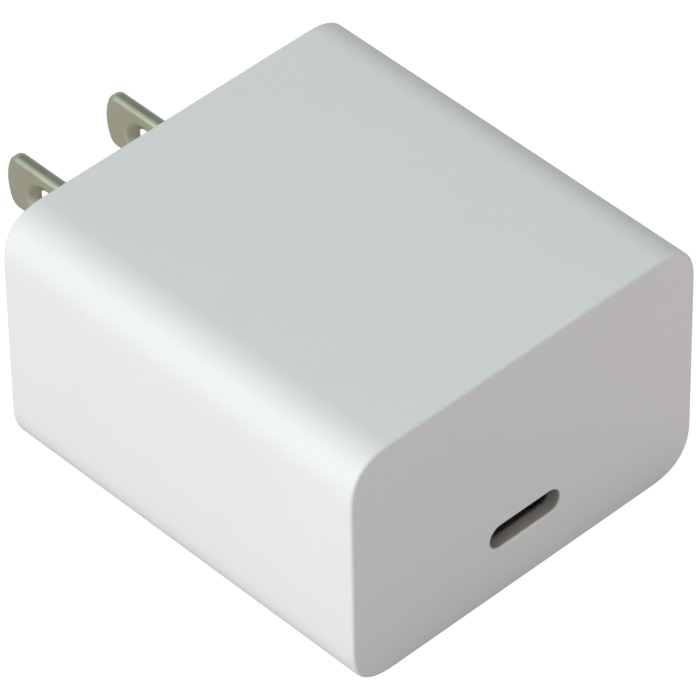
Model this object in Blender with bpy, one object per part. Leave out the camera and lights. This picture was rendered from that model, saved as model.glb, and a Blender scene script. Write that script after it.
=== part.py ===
"""Wall-plug laptop power adapter: a white moulded block with two fixed flat blades at the back
and a USB-C socket low on the front.

Metres, +Z up. +Y points out of the back face along the blades, and the block rests on its flat
underside. The origin is the centre of the whole length and width, at the underside.
"""
import math

import bmesh
import bpy
from mathutils import Vector

MM = 0.001

# ---- Fits
GAP = 0.3 * MM                      # between pieces that touch
BLADE_PLAY = 0.3 * MM               # around a blade in the cap and the carrier
PIN_PLAY = 0.3 * MM                 # around a lead in its board hole
PART_SPACING = 0.5 * MM             # between neighbouring components on the board

# ---- Housing and cap
BODY_WIDTH = 43.8 * MM
BODY_DEPTH = 46.2 * MM
BODY_HEIGHT = 28.2 * MM
CORNER_REACH = 5.4 * MM             # how far each long edge's rounding reaches along a side
CORNER_POWER = 2.6                  # 2 is a circular arc, more is squarer
CORNER_STEPS = 9
EDGE_FILLET = 0.35 * MM
EDGE_FILLET_STEPS = 3
WALL = 2.0 * MM
FRONT_WALL = 1.9 * MM
CAP_THICKNESS = 2.4 * MM
CAP_RIM = 1.0 * MM                  # width of housing edge seen around the cap
LEDGE_WIDTH = 1.4 * MM              # shelf along each side wall, under the board's edge
LEDGE_ROOT = 0.4 * MM               # how far a shelf runs into the wall that carries it

# ---- Plug blades
BLADE_SPACING = 12.7 * MM
BLADE_THICKNESS = 1.5 * MM
BLADE_WIDTH = 6.3 * MM
BLADE_REACH = 16.8 * MM
BLADE_NOSE_RADIUS = 6.5 * MM
BLADE_CORNER_RADIUS = 1.3 * MM
BLADE_EDGE_FILLET = 0.5 * MM
BLADE_HOLE_RADIUS = 1.4 * MM
BLADE_HOLE_FROM_FACE = 11.4 * MM
BLADE_HOLE_DROP = 0.3 * MM          # the hole's middle lies this much under the blade's
BLADE_DIMPLE_RADIUS = 2.4 * MM
BLADE_DIMPLE_DEPTH = 0.5 * MM
SHOULDER_WIDTH = 8.4 * MM
SHOULDER_LENGTH = 2.4 * MM
TAIL_REACH = 3.2 * MM               # of the blade past the carrier, into the contact spring
TAIL_THICKNESS = 1.3 * MM           # of the coined part that the cap and the carrier hold
TAIL_SHOWS = 0.2 * MM               # of the coined part outside the back face

# ---- Blade carrier
CARRIER_LENGTH = 5.0 * MM
CARRIER_MARGIN = 1.3 * MM           # of plastic around the blades' shoulders
PEG_RADIUS = 1.0 * MM
PEG_OFFSET = 3.2 * MM               # of each cap peg above and below the blades' centre
PEG_END = 0.7 * MM                  # of a peg past the carrier

# ---- USB-C socket
SOCKET_HEIGHT = 7.25 * MM           # of the socket's centre above the underside
SLOT_WIDTH = 8.74 * MM
SLOT_HEIGHT = 2.6 * MM
SLOT_LIP = 0.27 * MM
SHELL_INNER_WIDTH = 8.34 * MM
SHELL_INNER_HEIGHT = 2.56 * MM
SHELL_WALL = 0.3 * MM
SHELL_POCKET = 0.6 * MM             # depth of the front wall's recess for the shell's nose
SHELL_LENGTH = 7.9 * MM
SHELL_LEG_WIDTH = 1.0 * MM
SHELL_LEG_SETBACKS = (2.2 * MM, 6.2 * MM)
TONGUE_WIDTH = 6.69 * MM
TONGUE_THICKNESS = 0.7 * MM
TONGUE_SETBACK = 1.1 * MM
TONGUE_BLOCK_LENGTH = 1.3 * MM

# ---- Circuit board
BOARD_THICKNESS = 1.2 * MM
BOARD_SIDE_PLAY = 0.6 * MM
BOARD_END_PLAY = 0.8 * MM
BOARD_CHAMFER = 2.0 * MM
FILM_THICKNESS = 0.25 * MM
FILM_INSET = 1.2 * MM
LEAD_RADIUS = 0.3 * MM
LEAD_STUB = 0.8 * MM                # of each lead below the board

# ---- Heat spreaders and thermal pad
SPREADER_THICKNESS = 0.5 * MM
SPREADER_HEADROOM = 1.1 * MM        # between the spreaders and the housing's roof
SPREADER_BEND_RISE = 2.35 * MM
SPREADER_BEND_RUN = 2.05 * MM
PAD_THICKNESS = 1.6 * MM
CAN_HEADROOM = 0.5 * MM             # between the capacitors' tops and the spreader's bend

# ---- Transformer
CORE_WIDTH = 20.0 * MM
CORE_DEPTH = 7.4 * MM
CORE_PLATE = 2.6 * MM
POST_WIDTH = 6.0 * MM
WINDOW_WIDTH = 3.9 * MM
BOBBIN_WALL = 0.8 * MM
WINDING_BUILD = 1.5 * MM
TAPE_THICKNESS = 0.35 * MM
BOBBIN_PIN_PITCH = 3.5 * MM

# ---- Other components
BULK_DIAMETER = 10.0 * MM
BULK_LEAD_PITCH = 5.0 * MM
OUTPUT_DIAMETER = 6.3 * MM
OUTPUT_HEIGHT = 9.0 * MM
OUTPUT_LEAD_PITCH = 2.5 * MM
CAN_EDGE = 0.6 * MM
CAN_SIDES = 24
X_CAP_SIZE = Vector((6.5, 11.0, 11.5)) * MM
X_CAP_LEAD_PITCH = 10.0 * MM
Y_CAP_RADIUS = 3.4 * MM
Y_CAP_THICKNESS = 3.4 * MM
Y_CAP_LEAD_PITCH = 5.0 * MM
FUSE_SIZE = Vector((8.4, 3.6, 7.4)) * MM
FUSE_LEAD_PITCH = 5.08 * MM
BRIDGE_SIZE = Vector((14.5, 3.4, 11.0)) * MM
BRIDGE_LEAD_PITCH = 3.8 * MM
BRIDGE_STAND = 2.2 * MM
THERMISTOR_RADIUS = 3.5 * MM
THERMISTOR_THICKNESS = 3.0 * MM
THERMISTOR_LEAD_PITCH = 5.0 * MM
COUPLER_SIZE = Vector((4.6, 6.4, 3.3)) * MM
COUPLER_LEAD_PITCH = 2.54 * MM
CHOKE_OUTER_RADIUS = 5.0 * MM
CHOKE_INNER_RADIUS = 2.5 * MM
CHOKE_WIDTH = 4.6 * MM
CHOKE_WINDING = 1.0 * MM
CHOKE_ARC = math.radians(124)
CHOKE_BASE = 1.0 * MM
CHOKE_LEAD_PITCH_X = 4.0 * MM
CHOKE_LEAD_PITCH_Y = 8.0 * MM
SWITCH_SIZE = Vector((6.0, 5.0, 0.85)) * MM
RECTIFIER_SIZE = Vector((5.0, 6.0, 0.9)) * MM
CONTROLLER_SIZE = Vector((4.0, 4.0, 0.8)) * MM
BARRIER_THICKNESS = 0.4 * MM
BARRIER_LEG = 5.2 * MM
BARRIER_HEADROOM = 2.6 * MM
SPRING_THICKNESS = 0.4 * MM
SPRING_WIDTH = 2.4 * MM
SPRING_FOOT = 2.2 * MM

# ---- Places along Y
TOTAL_LENGTH = BODY_DEPTH + BLADE_REACH
FRONT_Y = -TOTAL_LENGTH / 2
BACK_Y = FRONT_Y + BODY_DEPTH
FRONT_INSIDE_Y = FRONT_Y + FRONT_WALL
CAP_INSIDE_Y = BACK_Y - CAP_THICKNESS
CARRIER_BACK_Y = CAP_INSIDE_Y - GAP
CARRIER_FRONT_Y = CARRIER_BACK_Y - CARRIER_LENGTH
SHOULDER_BACK_Y = CAP_INSIDE_Y - GAP
SHOULDER_FRONT_Y = SHOULDER_BACK_Y - SHOULDER_LENGTH
TAIL_Y = CARRIER_FRONT_Y - TAIL_REACH
BOARD_FRONT_Y = FRONT_INSIDE_Y + BOARD_END_PLAY / 2
BOARD_BACK_Y = CAP_INSIDE_Y - BOARD_END_PLAY
SHELL_FRONT_Y = FRONT_INSIDE_Y - SHELL_POCKET + GAP
SHELL_BACK_Y = SHELL_FRONT_Y + SHELL_LENGTH
BARRIER_Y = SHELL_BACK_Y + 2 * PART_SPACING

# ---- Places along Z
BLADE_Z = BODY_HEIGHT / 2
ROOF_Z = BODY_HEIGHT - WALL
BOARD_TOP_Z = SOCKET_HEIGHT - SHELL_INNER_HEIGHT / 2 - SHELL_WALL - GAP
BOARD_BOTTOM_Z = BOARD_TOP_Z - BOARD_THICKNESS
SEAT_Z = BOARD_TOP_Z + GAP
SPREADER_Z = ROOF_Z - SPREADER_HEADROOM - SPREADER_THICKNESS / 2
SPREADER_BEND_Z = SPREADER_Z - SPREADER_BEND_RISE
CORE_TOP_Z = SPREADER_Z - SPREADER_THICKNESS / 2 - GAP - PAD_THICKNESS - GAP
CORE_HEIGHT = CORE_TOP_Z - SEAT_Z
BULK_HEIGHT = SPREADER_BEND_Z - CAN_HEADROOM - SEAT_Z

# ---- Places along X, from each side wall inwards
INSIDE_X = BODY_WIDTH / 2 - WALL
COLUMN_X = INSIDE_X - GAP - SPREADER_THICKNESS - GAP
CORE_X = -COLUMN_X + CORE_WIDTH / 2
BULK_X = COLUMN_X - BULK_DIAMETER / 2
MIDDLE_X = (CORE_X + CORE_WIDTH / 2 + BULK_X - BULK_DIAMETER / 2) / 2

# ---- Rows on the board, from the barrier backwards and from the cap forwards
TAPE_OFFSET = GAP + BOBBIN_WALL + GAP + WINDING_BUILD + GAP + TAPE_THICKNESS
BOBBIN_OFFSET = WINDOW_WIDTH - GAP
CORE_ROW_DEPTH = CORE_DEPTH + 2 * max(TAPE_OFFSET, BOBBIN_OFFSET)
CORE_Y = BARRIER_Y + BARRIER_THICKNESS + GAP + CORE_ROW_DEPTH / 2
BRIDGE_Y = CORE_Y + CORE_ROW_DEPTH / 2 + PART_SPACING + BRIDGE_SIZE.y / 2
BRIDGE_BACK_Y = BRIDGE_Y + BRIDGE_SIZE.y / 2
CHOKE_REACH = CHOKE_OUTER_RADIUS + GAP + CHOKE_WINDING
CHOKE_Y = BOARD_BACK_Y - CHOKE_REACH
REAR_BULK_Y = CHOKE_Y - CHOKE_REACH - PART_SPACING - BULK_DIAMETER / 2
FRONT_BULK_Y = REAR_BULK_Y - BULK_DIAMETER - PART_SPACING

PIN_HOLES = []                      # every lead's (x, y, radius) through the board


def clear_scene():
    for old in list(bpy.data.objects):
        bpy.data.objects.remove(old, do_unlink=True)


clear_scene()
ADAPTER = bpy.data.objects.new("adapter", None)
bpy.context.scene.collection.objects.link(ADAPTER)


# ---- Outlines: lists of flat points, anticlockwise
def rounded_outline(width, height, reach, power=2.0, steps=3):
    """A rectangle with its corners rounded by superellipse arcs."""
    points = []
    for quarter in range(4):
        for step in range(steps + 1):
            angle = math.radians(90 * (quarter + step / steps))
            across = math.copysign(abs(math.cos(angle)) ** (2 / power), math.cos(angle))
            up = math.copysign(abs(math.sin(angle)) ** (2 / power), math.sin(angle))
            side = 1 if quarter in (0, 3) else -1
            end = 1 if quarter in (0, 1) else -1
            x = side * (width / 2 - reach) + reach * across
            y = end * (height / 2 - reach) + reach * up
            points.append((x, y))
    return points


def slot_outline(width, height, steps=6):
    return rounded_outline(width, height, height / 2 - 0.001 * MM, steps=steps)


def box_outline(x_low, x_high, y_low, y_high):
    return [(x_low, y_low), (x_high, y_low), (x_high, y_high), (x_low, y_high)]


def circle_outline(radius, sides, start=0.0):
    angles = [start + 2 * math.pi * side / sides for side in range(sides)]
    return [(radius * math.cos(angle), radius * math.sin(angle)) for angle in angles]


def body_outline(inset):
    """The housing's cross-section, moved inwards by the inset."""
    reach = max(CORNER_REACH - inset, 1.0 * MM)
    width = BODY_WIDTH - 2 * inset
    height = BODY_HEIGHT - 2 * inset
    outline = rounded_outline(width, height, reach, CORNER_POWER, CORNER_STEPS)
    return [(x, z + BODY_HEIGHT / 2) for x, z in outline]


def strip_outline(line, thickness):
    """The outline of a bent sheet whose middle follows the line."""
    left = []
    right = []
    for index, point in enumerate(line):
        here = Vector(point)
        before = Vector(line[index - 1]) if index else here
        after = Vector(line[index + 1]) if index + 1 < len(line) else here
        run_in = (here - before).normalized() if index else (after - here).normalized()
        run_out = (after - here).normalized() if index + 1 < len(line) else run_in
        along = (run_in + run_out).normalized()
        side = Vector((-along.y, along.x)) * thickness / 2 / max(along.dot(run_in), 0.3)
        left.append(tuple(here + side))
        right.append(tuple(here - side))
    return right + left[::-1]


# ---- Solids
def ring_points(outline, axis, level):
    if axis == "X":
        return [Vector((level, a, b)) for a, b in outline]
    if axis == "Y":
        return [Vector((a, level, b)) for a, b in outline]
    return [Vector((a, b, level)) for a, b in outline]


def solid(name, mesh_data, place=(0.0, 0.0, 0.0)):
    """An object from a closed bmesh, with its faces pointing out."""
    bmesh.ops.recalc_face_normals(mesh_data, faces=mesh_data.faces)
    mesh = bpy.data.meshes.new(name)
    mesh_data.to_mesh(mesh)
    mesh_data.free()
    mesh.shade_smooth()
    mesh.set_sharp_from_angle(angle=math.radians(35))
    made = bpy.data.objects.new(name, mesh)
    made.location = place
    made.parent = ADAPTER
    bpy.context.scene.collection.objects.link(made)
    return made


def loft(name, rings, place=(0.0, 0.0, 0.0), closed=False):
    """A solid through rings of equal point counts: capped at both ends, or closed on itself."""
    data = bmesh.new()
    loops = [[data.verts.new(point) for point in ring] for ring in rings]
    pairs = list(zip(loops, loops[1:] + loops[:1])) if closed else list(zip(loops, loops[1:]))
    for low, high in pairs:
        for index in range(len(low)):
            following = (index + 1) % len(low)
            data.faces.new((low[index], low[following], high[following], high[index]))
    if not closed:
        data.faces.new(loops[0])
        data.faces.new(loops[-1])
    return solid(name, data, place)


def prism(name, outline, axis, low, high, place=(0.0, 0.0, 0.0)):
    """An outline extruded along an axis."""
    data = bmesh.new()
    face = data.faces.new([data.verts.new(point) for point in ring_points(outline, axis, low)])
    grown = bmesh.ops.extrude_face_region(data, geom=[face])
    moved = [item for item in grown["geom"] if isinstance(item, bmesh.types.BMVert)]
    shift = ring_points([(0.0, 0.0)], axis, high - low)[0]
    bmesh.ops.translate(data, verts=moved, vec=shift)
    return solid(name, data, place)


def can(name, radius, low, high, sides, place):
    return prism(name, circle_outline(radius, sides), "Z", low, high, place)


def join_solids(name, pieces):
    """One object that holds several helper solids, for one Boolean."""
    data = bmesh.new()
    for piece in pieces:
        piece.data.transform(piece.matrix_basis)
        data.from_mesh(piece.data)
        bpy.data.objects.remove(piece, do_unlink=True)
    return solid(name, data)


# ---- Modifiers
def combine(target, helper, operation):
    helper.hide_render = True
    helper.display_type = "WIRE"
    change = target.modifiers.new(helper.name, "BOOLEAN")
    change.operation = operation
    change.object = helper
    change.solver = "EXACT"


def cut(target, helper):
    combine(target, helper, "DIFFERENCE")


def add(target, helper):
    combine(target, helper, "UNION")


def round_edges(target, width, segments, angle=60):
    change = target.modifiers.new("edge_rounding", "BEVEL")
    change.width = width
    change.segments = segments
    change.limit_method = "ANGLE"
    change.angle_limit = math.radians(angle)


def finish(target, colour, roughness, metallic=0.0):
    made = bpy.data.materials.new(target.name)
    made.use_nodes = True
    shader = made.node_tree.nodes["Principled BSDF"]
    shader.inputs["Base Color"].default_value = (*colour, 1.0)
    shader.inputs["Roughness"].default_value = roughness
    shader.inputs["Metallic"].default_value = metallic
    target.data.materials.append(made)


def add_leads(target, places, top, radius=LEAD_RADIUS):
    """Round leads from inside the body, down through the board; notes the holes they need."""
    origin = target.location
    low = BOARD_BOTTOM_Z - LEAD_STUB - origin.z
    leads = []
    for index, (x, y) in enumerate(places):
        name = f"{target.name}_lead_{index}"
        where = (origin.x + x, origin.y + y, origin.z)
        leads.append(can(name, radius, low, top, 8, where))
        PIN_HOLES.append((origin.x + x, origin.y + y, radius))
    add(target, join_solids(f"{target.name}_leads", leads))


def mirrored_pairs(pitch_x, pitch_y):
    return [(sx * pitch_x / 2, sy * pitch_y / 2) for sx in (-1, 1) for sy in (-1, 1)]


# ---- Housing and cap
def build_housing():
    housing = prism("housing", body_outline(0.0), "Y", FRONT_Y, BACK_Y)
    round_edges(housing, EDGE_FILLET, EDGE_FILLET_STEPS)
    seat = CAP_INSIDE_Y - GAP
    hollow = loft("housing_hollow", [
        ring_points(body_outline(WALL), "Y", FRONT_INSIDE_Y),
        ring_points(body_outline(WALL), "Y", seat),
        ring_points(body_outline(CAP_RIM), "Y", seat),
        ring_points(body_outline(CAP_RIM), "Y", BACK_Y + WALL)])
    cut(housing, hollow)
    ledges = []
    for side, name in ((-1, "left_ledge"), (1, "right_ledge")):
        reach = sorted((side * (INSIDE_X - LEDGE_WIDTH), side * (INSIDE_X + LEDGE_ROOT)))
        outline = box_outline(*reach, WALL - LEDGE_ROOT, BOARD_BOTTOM_Z - GAP)
        ledges.append(prism(name, outline, "Y", FRONT_INSIDE_Y - LEDGE_ROOT, BOARD_BACK_Y))
    add(housing, join_solids("housing_ledges", ledges))
    rings = []
    steps = 4
    for step in range(steps + 1):
        angle = math.pi / 2 * (1 - step / steps)
        flare = SLOT_LIP * (1 - math.cos(angle))
        depth = SLOT_LIP * (1 - math.sin(angle))
        outline = slot_outline(SLOT_WIDTH + 2 * flare, SLOT_HEIGHT + 2 * flare)
        rings.append(ring_points(outline, "Y", FRONT_Y + depth))
    rings.insert(0, [point - Vector((0, WALL, 0)) for point in rings[0]])
    rings.append([point + Vector((0, FRONT_WALL + GAP, 0)) for point in rings[-1]])
    cut(housing, loft("housing_slot", rings, (0, 0, SOCKET_HEIGHT)))
    around = 2 * (SHELL_WALL + GAP)
    outline = slot_outline(SHELL_INNER_WIDTH + around, SHELL_INNER_HEIGHT + around)
    cut(housing, prism("shell_pocket", outline, "Y", FRONT_INSIDE_Y - SHELL_POCKET,
                       FRONT_INSIDE_Y + GAP, (0, 0, SOCKET_HEIGHT)))
    finish(housing, (0.80, 0.81, 0.80), 0.42)


def blade_opening(name, side, width, y_low, y_high):
    outline = box_outline(-BLADE_THICKNESS / 2 - BLADE_PLAY, BLADE_THICKNESS / 2 + BLADE_PLAY,
                          -width / 2 - BLADE_PLAY, width / 2 + BLADE_PLAY)
    return prism(name, outline, "Y", y_low, y_high, (side * BLADE_SPACING / 2, 0, BLADE_Z))


def build_back_cap():
    cap = prism("back_cap", body_outline(CAP_RIM + GAP), "Y", CAP_INSIDE_Y, BACK_Y)
    round_edges(cap, EDGE_FILLET / 2, 2)
    holes = [blade_opening(f"cap_hole_{side}", side, BLADE_WIDTH, CAP_INSIDE_Y - WALL,
                           BACK_Y + WALL) for side in (-1, 1)]
    cut(cap, join_solids("cap_blade_holes", holes))
    pegs = []
    for side in (-1, 1):
        outline = circle_outline(PEG_RADIUS, 16)
        where = (0, 0, BLADE_Z + side * PEG_OFFSET)
        low = CARRIER_FRONT_Y - PEG_END
        pegs.append(prism(f"peg_{side}", outline, "Y", low, CAP_INSIDE_Y + GAP, where))
    add(cap, join_solids("cap_pegs", pegs))
    finish(cap, (0.80, 0.81, 0.80), 0.42)


# ---- Plug
def blade_outline():
    """One blade from the side: tail, shoulder, straight run and rounded nose, as (y, z)."""
    half = BLADE_WIDTH / 2
    nose_y = TOTAL_LENGTH / 2 - BLADE_NOSE_RADIUS
    inner = BLADE_NOSE_RADIUS - BLADE_CORNER_RADIUS
    corner_z = half - BLADE_CORNER_RADIUS
    corner_y = nose_y + math.sqrt(inner ** 2 - corner_z ** 2)
    meet = math.atan2(corner_z, corner_y - nose_y)
    upper = [(TAIL_Y, half), (SHOULDER_FRONT_Y, half), (SHOULDER_FRONT_Y, SHOULDER_WIDTH / 2),
             (SHOULDER_BACK_Y, SHOULDER_WIDTH / 2), (SHOULDER_BACK_Y, half)]
    steps = 4
    for step in range(steps + 1):
        angle = math.pi / 2 + (meet - math.pi / 2) * step / steps
        upper.append((corner_y + BLADE_CORNER_RADIUS * math.cos(angle),
                      corner_z + BLADE_CORNER_RADIUS * math.sin(angle)))
    for step in range(1, steps):
        angle = meet * (1 - step / steps)
        upper.append((nose_y + BLADE_NOSE_RADIUS * math.cos(angle),
                      BLADE_NOSE_RADIUS * math.sin(angle)))
    tip = [(nose_y + BLADE_NOSE_RADIUS, 0.0)]
    return [(y, -z) for y, z in upper] + tip + upper[::-1]


def build_blade(name, side):
    place = (side * BLADE_SPACING / 2, 0, BLADE_Z)
    thick = BLADE_THICKNESS / 2
    blade = prism(name, blade_outline(), "X", -thick, thick, place)
    round_edges(blade, BLADE_EDGE_FILLET, 2, 70)
    hole_y = BACK_Y + BLADE_HOLE_FROM_FACE
    slope = (BLADE_DIMPLE_RADIUS - BLADE_HOLE_RADIUS) / BLADE_DIMPLE_DEPTH
    outer = BLADE_DIMPLE_RADIUS + slope * GAP
    stations = ((-thick - GAP, outer), (BLADE_DIMPLE_DEPTH - thick, BLADE_HOLE_RADIUS),
                (thick - BLADE_DIMPLE_DEPTH, BLADE_HOLE_RADIUS), (thick + GAP, outer))
    rings = []
    for x, radius in stations:
        rings.append([Vector((x, hole_y + a, b - BLADE_HOLE_DROP))
                      for a, b in circle_outline(radius, 24)])
    cut(blade, loft(f"{name}_hole", rings, place))
    slabs = []
    for face in (-1, 1):
        reach = sorted((face * TAIL_THICKNESS / 2, face * BLADE_THICKNESS))
        outline = box_outline(*reach, -SHOULDER_WIDTH, SHOULDER_WIDTH)
        slabs.append(prism(f"{name}_slab_{face}", outline, "Y", TAIL_Y - GAP,
                           BACK_Y + TAIL_SHOWS, place))
    cut(blade, join_solids(f"{name}_coining", slabs))
    finish(blade, (0.44, 0.43, 0.38), 0.30, 1.0)


def build_blade_carrier():
    half_x = BLADE_SPACING / 2 + BLADE_THICKNESS / 2 + BLADE_PLAY + CARRIER_MARGIN
    half_z = SHOULDER_WIDTH / 2 + BLADE_PLAY + CARRIER_MARGIN
    outline = rounded_outline(2 * half_x, 2 * half_z, CARRIER_MARGIN)
    carrier = prism("blade_carrier", outline, "Y", CARRIER_FRONT_Y, CARRIER_BACK_Y,
                    (0, 0, BLADE_Z))
    tails = []
    pockets = []
    for side in (-1, 1):
        tails.append(blade_opening(f"tail_hole_{side}", side, BLADE_WIDTH,
                                   CARRIER_FRONT_Y - GAP, CARRIER_BACK_Y + GAP))
        pockets.append(blade_opening(f"pocket_{side}", side, SHOULDER_WIDTH,
                                     SHOULDER_FRONT_Y - GAP, CARRIER_BACK_Y + GAP))
    cut(carrier, join_solids("carrier_tail_holes", tails))
    cut(carrier, join_solids("carrier_pockets", pockets))
    holes = []
    for side in (-1, 1):
        outline = circle_outline(PEG_RADIUS + GAP, 16)
        where = (0, 0, BLADE_Z + side * PEG_OFFSET)
        holes.append(prism(f"peg_hole_{side}", outline, "Y", CARRIER_FRONT_Y - GAP,
                           CARRIER_BACK_Y + GAP, where))
    cut(carrier, join_solids("carrier_peg_holes", holes))
    finish(carrier, (0.05, 0.05, 0.055), 0.5)


def build_contact_spring(name, side):
    """A bent leaf: foot on the board, bulge against the blade's tail."""
    touch = BLADE_SPACING / 2 + TAIL_THICKNESS / 2 + GAP + SPRING_THICKNESS / 2
    lean = touch + SPRING_THICKNESS
    foot_z = SEAT_Z + SPRING_THICKNESS / 2
    bulge = BLADE_WIDTH / 4
    line = [(lean + SPRING_FOOT, foot_z), (lean, foot_z), (lean, BLADE_Z - 2 * bulge),
            (touch, BLADE_Z - bulge / 2), (touch, BLADE_Z + bulge / 2),
            (lean, BLADE_Z + 2 * bulge)]
    outline = strip_outline([(side * x, z) for x, z in line], SPRING_THICKNESS)
    low = CARRIER_FRONT_Y - GAP - SPRING_WIDTH
    spring = prism(name, outline, "Y", low, low + SPRING_WIDTH)
    finish(spring, (0.72, 0.45, 0.25), 0.3, 1.0)


# ---- USB-C socket
def build_usb_shell():
    outer = slot_outline(SHELL_INNER_WIDTH + 2 * SHELL_WALL, SHELL_INNER_HEIGHT + 2 * SHELL_WALL)
    inner = slot_outline(SHELL_INNER_WIDTH, SHELL_INNER_HEIGHT)
    rings = [ring_points(outer, "Y", SHELL_FRONT_Y), ring_points(outer, "Y", SHELL_BACK_Y),
             ring_points(inner, "Y", SHELL_BACK_Y), ring_points(inner, "Y", SHELL_FRONT_Y)]
    shell = loft("usb_c_shell", rings, (0, 0, SOCKET_HEIGHT), closed=True)
    legs = []
    leg_x = SHELL_INNER_WIDTH / 2 + SHELL_WALL * 0.7
    leg_low = BOARD_BOTTOM_Z - LEAD_STUB
    for side in (-1, 1):
        for setback in SHELL_LEG_SETBACKS:
            y = SHELL_FRONT_Y + setback
            outline = box_outline(-SHELL_WALL / 2, SHELL_WALL / 2,
                                  -SHELL_LEG_WIDTH / 2, SHELL_LEG_WIDTH / 2)
            legs.append(prism(f"leg_{side}_{setback:.4f}", outline, "Z", leg_low,
                              SOCKET_HEIGHT, (side * leg_x, y, 0)))
            PIN_HOLES.append((side * leg_x, y, SHELL_LEG_WIDTH / 2))
    add(shell, join_solids("usb_c_shell_legs", legs))
    finish(shell, (0.62, 0.62, 0.60), 0.28, 1.0)


def build_usb_tongue():
    block_y = SHELL_BACK_Y - TONGUE_BLOCK_LENGTH
    outline = slot_outline(SHELL_INNER_WIDTH - 2 * GAP, SHELL_INNER_HEIGHT - 2 * GAP)
    place = (0, 0, SOCKET_HEIGHT)
    tongue = prism("usb_c_tongue", outline, "Y", block_y, SHELL_BACK_Y, place)
    corner = 1.0 * MM
    half = TONGUE_WIDTH / 2
    front = SHELL_FRONT_Y + TONGUE_SETBACK
    back = block_y + TONGUE_BLOCK_LENGTH / 2
    blade = [(-half, back), (-half, front + corner), (-half + corner / 2, front),
             (half - corner / 2, front), (half, front + corner), (half, back)]
    low = SOCKET_HEIGHT - TONGUE_THICKNESS / 2
    add(tongue, prism("usb_c_tongue_blade", blade, "Z", low, low + TONGUE_THICKNESS))
    finish(tongue, (0.015, 0.015, 0.016), 0.45)


# ---- Transformer
def core_outline(height):
    """An E seen from the front: its back plate down, its three legs up."""
    leg = (CORE_WIDTH - POST_WIDTH) / 2 - WINDOW_WIDTH
    half = CORE_WIDTH / 2
    post = POST_WIDTH / 2
    right = [(half, 0.0), (half, height), (half - leg, height), (half - leg, CORE_PLATE),
             (post, CORE_PLATE), (post, height)]
    return right + [(-x, z) for x, z in right[::-1]]


def post_ring(offset, z):
    """A ring around the core's middle leg, at an offset from it."""
    corner = min(0.6 * MM + offset / 4, 1.6 * MM)
    outline = rounded_outline(POST_WIDTH + 2 * offset, CORE_DEPTH + 2 * offset, corner)
    return ring_points(outline, "Z", z)


def build_transformer():
    place = (CORE_X, CORE_Y, SEAT_Z)
    half_height = (CORE_HEIGHT - GAP) / 2
    lower = core_outline(half_height)
    upper = [(x, CORE_HEIGHT - z) for x, z in lower[::-1]]
    for name, outline in (("transformer_core_lower", lower), ("transformer_core_upper", upper)):
        core = prism(name, outline, "Y", -CORE_DEPTH / 2, CORE_DEPTH / 2, place)
        round_edges(core, 0.25 * MM, 1)
        finish(core, (0.035, 0.034, 0.036), 0.6)

    low = CORE_PLATE + GAP
    high = CORE_HEIGHT - CORE_PLATE - GAP
    spool = GAP + BOBBIN_WALL
    flange = BOBBIN_WALL
    rings = [post_ring(BOBBIN_OFFSET, low), post_ring(BOBBIN_OFFSET, low + flange),
             post_ring(spool, low + flange), post_ring(spool, high - flange),
             post_ring(BOBBIN_OFFSET, high - flange), post_ring(BOBBIN_OFFSET, high),
             post_ring(GAP, high), post_ring(GAP, low)]
    bobbin = loft("transformer_bobbin", rings, place, closed=True)
    pin_y = CORE_DEPTH / 2 + (GAP + BOBBIN_OFFSET) / 2
    columns = (-1.5, -0.5, 0.5, 1.5)
    pins = [(column * BOBBIN_PIN_PITCH, side * pin_y) for column in columns for side in (-1, 1)]
    add_leads(bobbin, pins, low + flange / 2, 0.4 * MM)
    finish(bobbin, (0.03, 0.03, 0.032), 0.45)

    wire_low = low + flange + GAP
    wire_high = high - flange - GAP
    inner = spool + GAP
    outer = inner + WINDING_BUILD
    rings = [post_ring(outer, wire_low), post_ring(outer, wire_high),
             post_ring(inner, wire_high), post_ring(inner, wire_low)]
    finish(loft("transformer_winding", rings, place, closed=True), (0.62, 0.27, 0.09), 0.35, 0.8)
    inner = outer + GAP
    outer = inner + TAPE_THICKNESS
    rings = [post_ring(outer, wire_low), post_ring(outer, wire_high),
             post_ring(inner, wire_high), post_ring(inner, wire_low)]
    finish(loft("transformer_tape", rings, place, closed=True), (0.80, 0.56, 0.05), 0.35)


# ---- Capacitors
def build_can_capacitor(name, x, y, diameter, height, pitch, colour):
    body = can(name, diameter / 2, 0.0, height, CAN_SIDES, (x, y, SEAT_Z))
    round_edges(body, CAN_EDGE, 1)
    add_leads(body, [(0, -pitch / 2), (0, pitch / 2)], height / 4)
    finish(body, colour, 0.35, 0.1)


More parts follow.
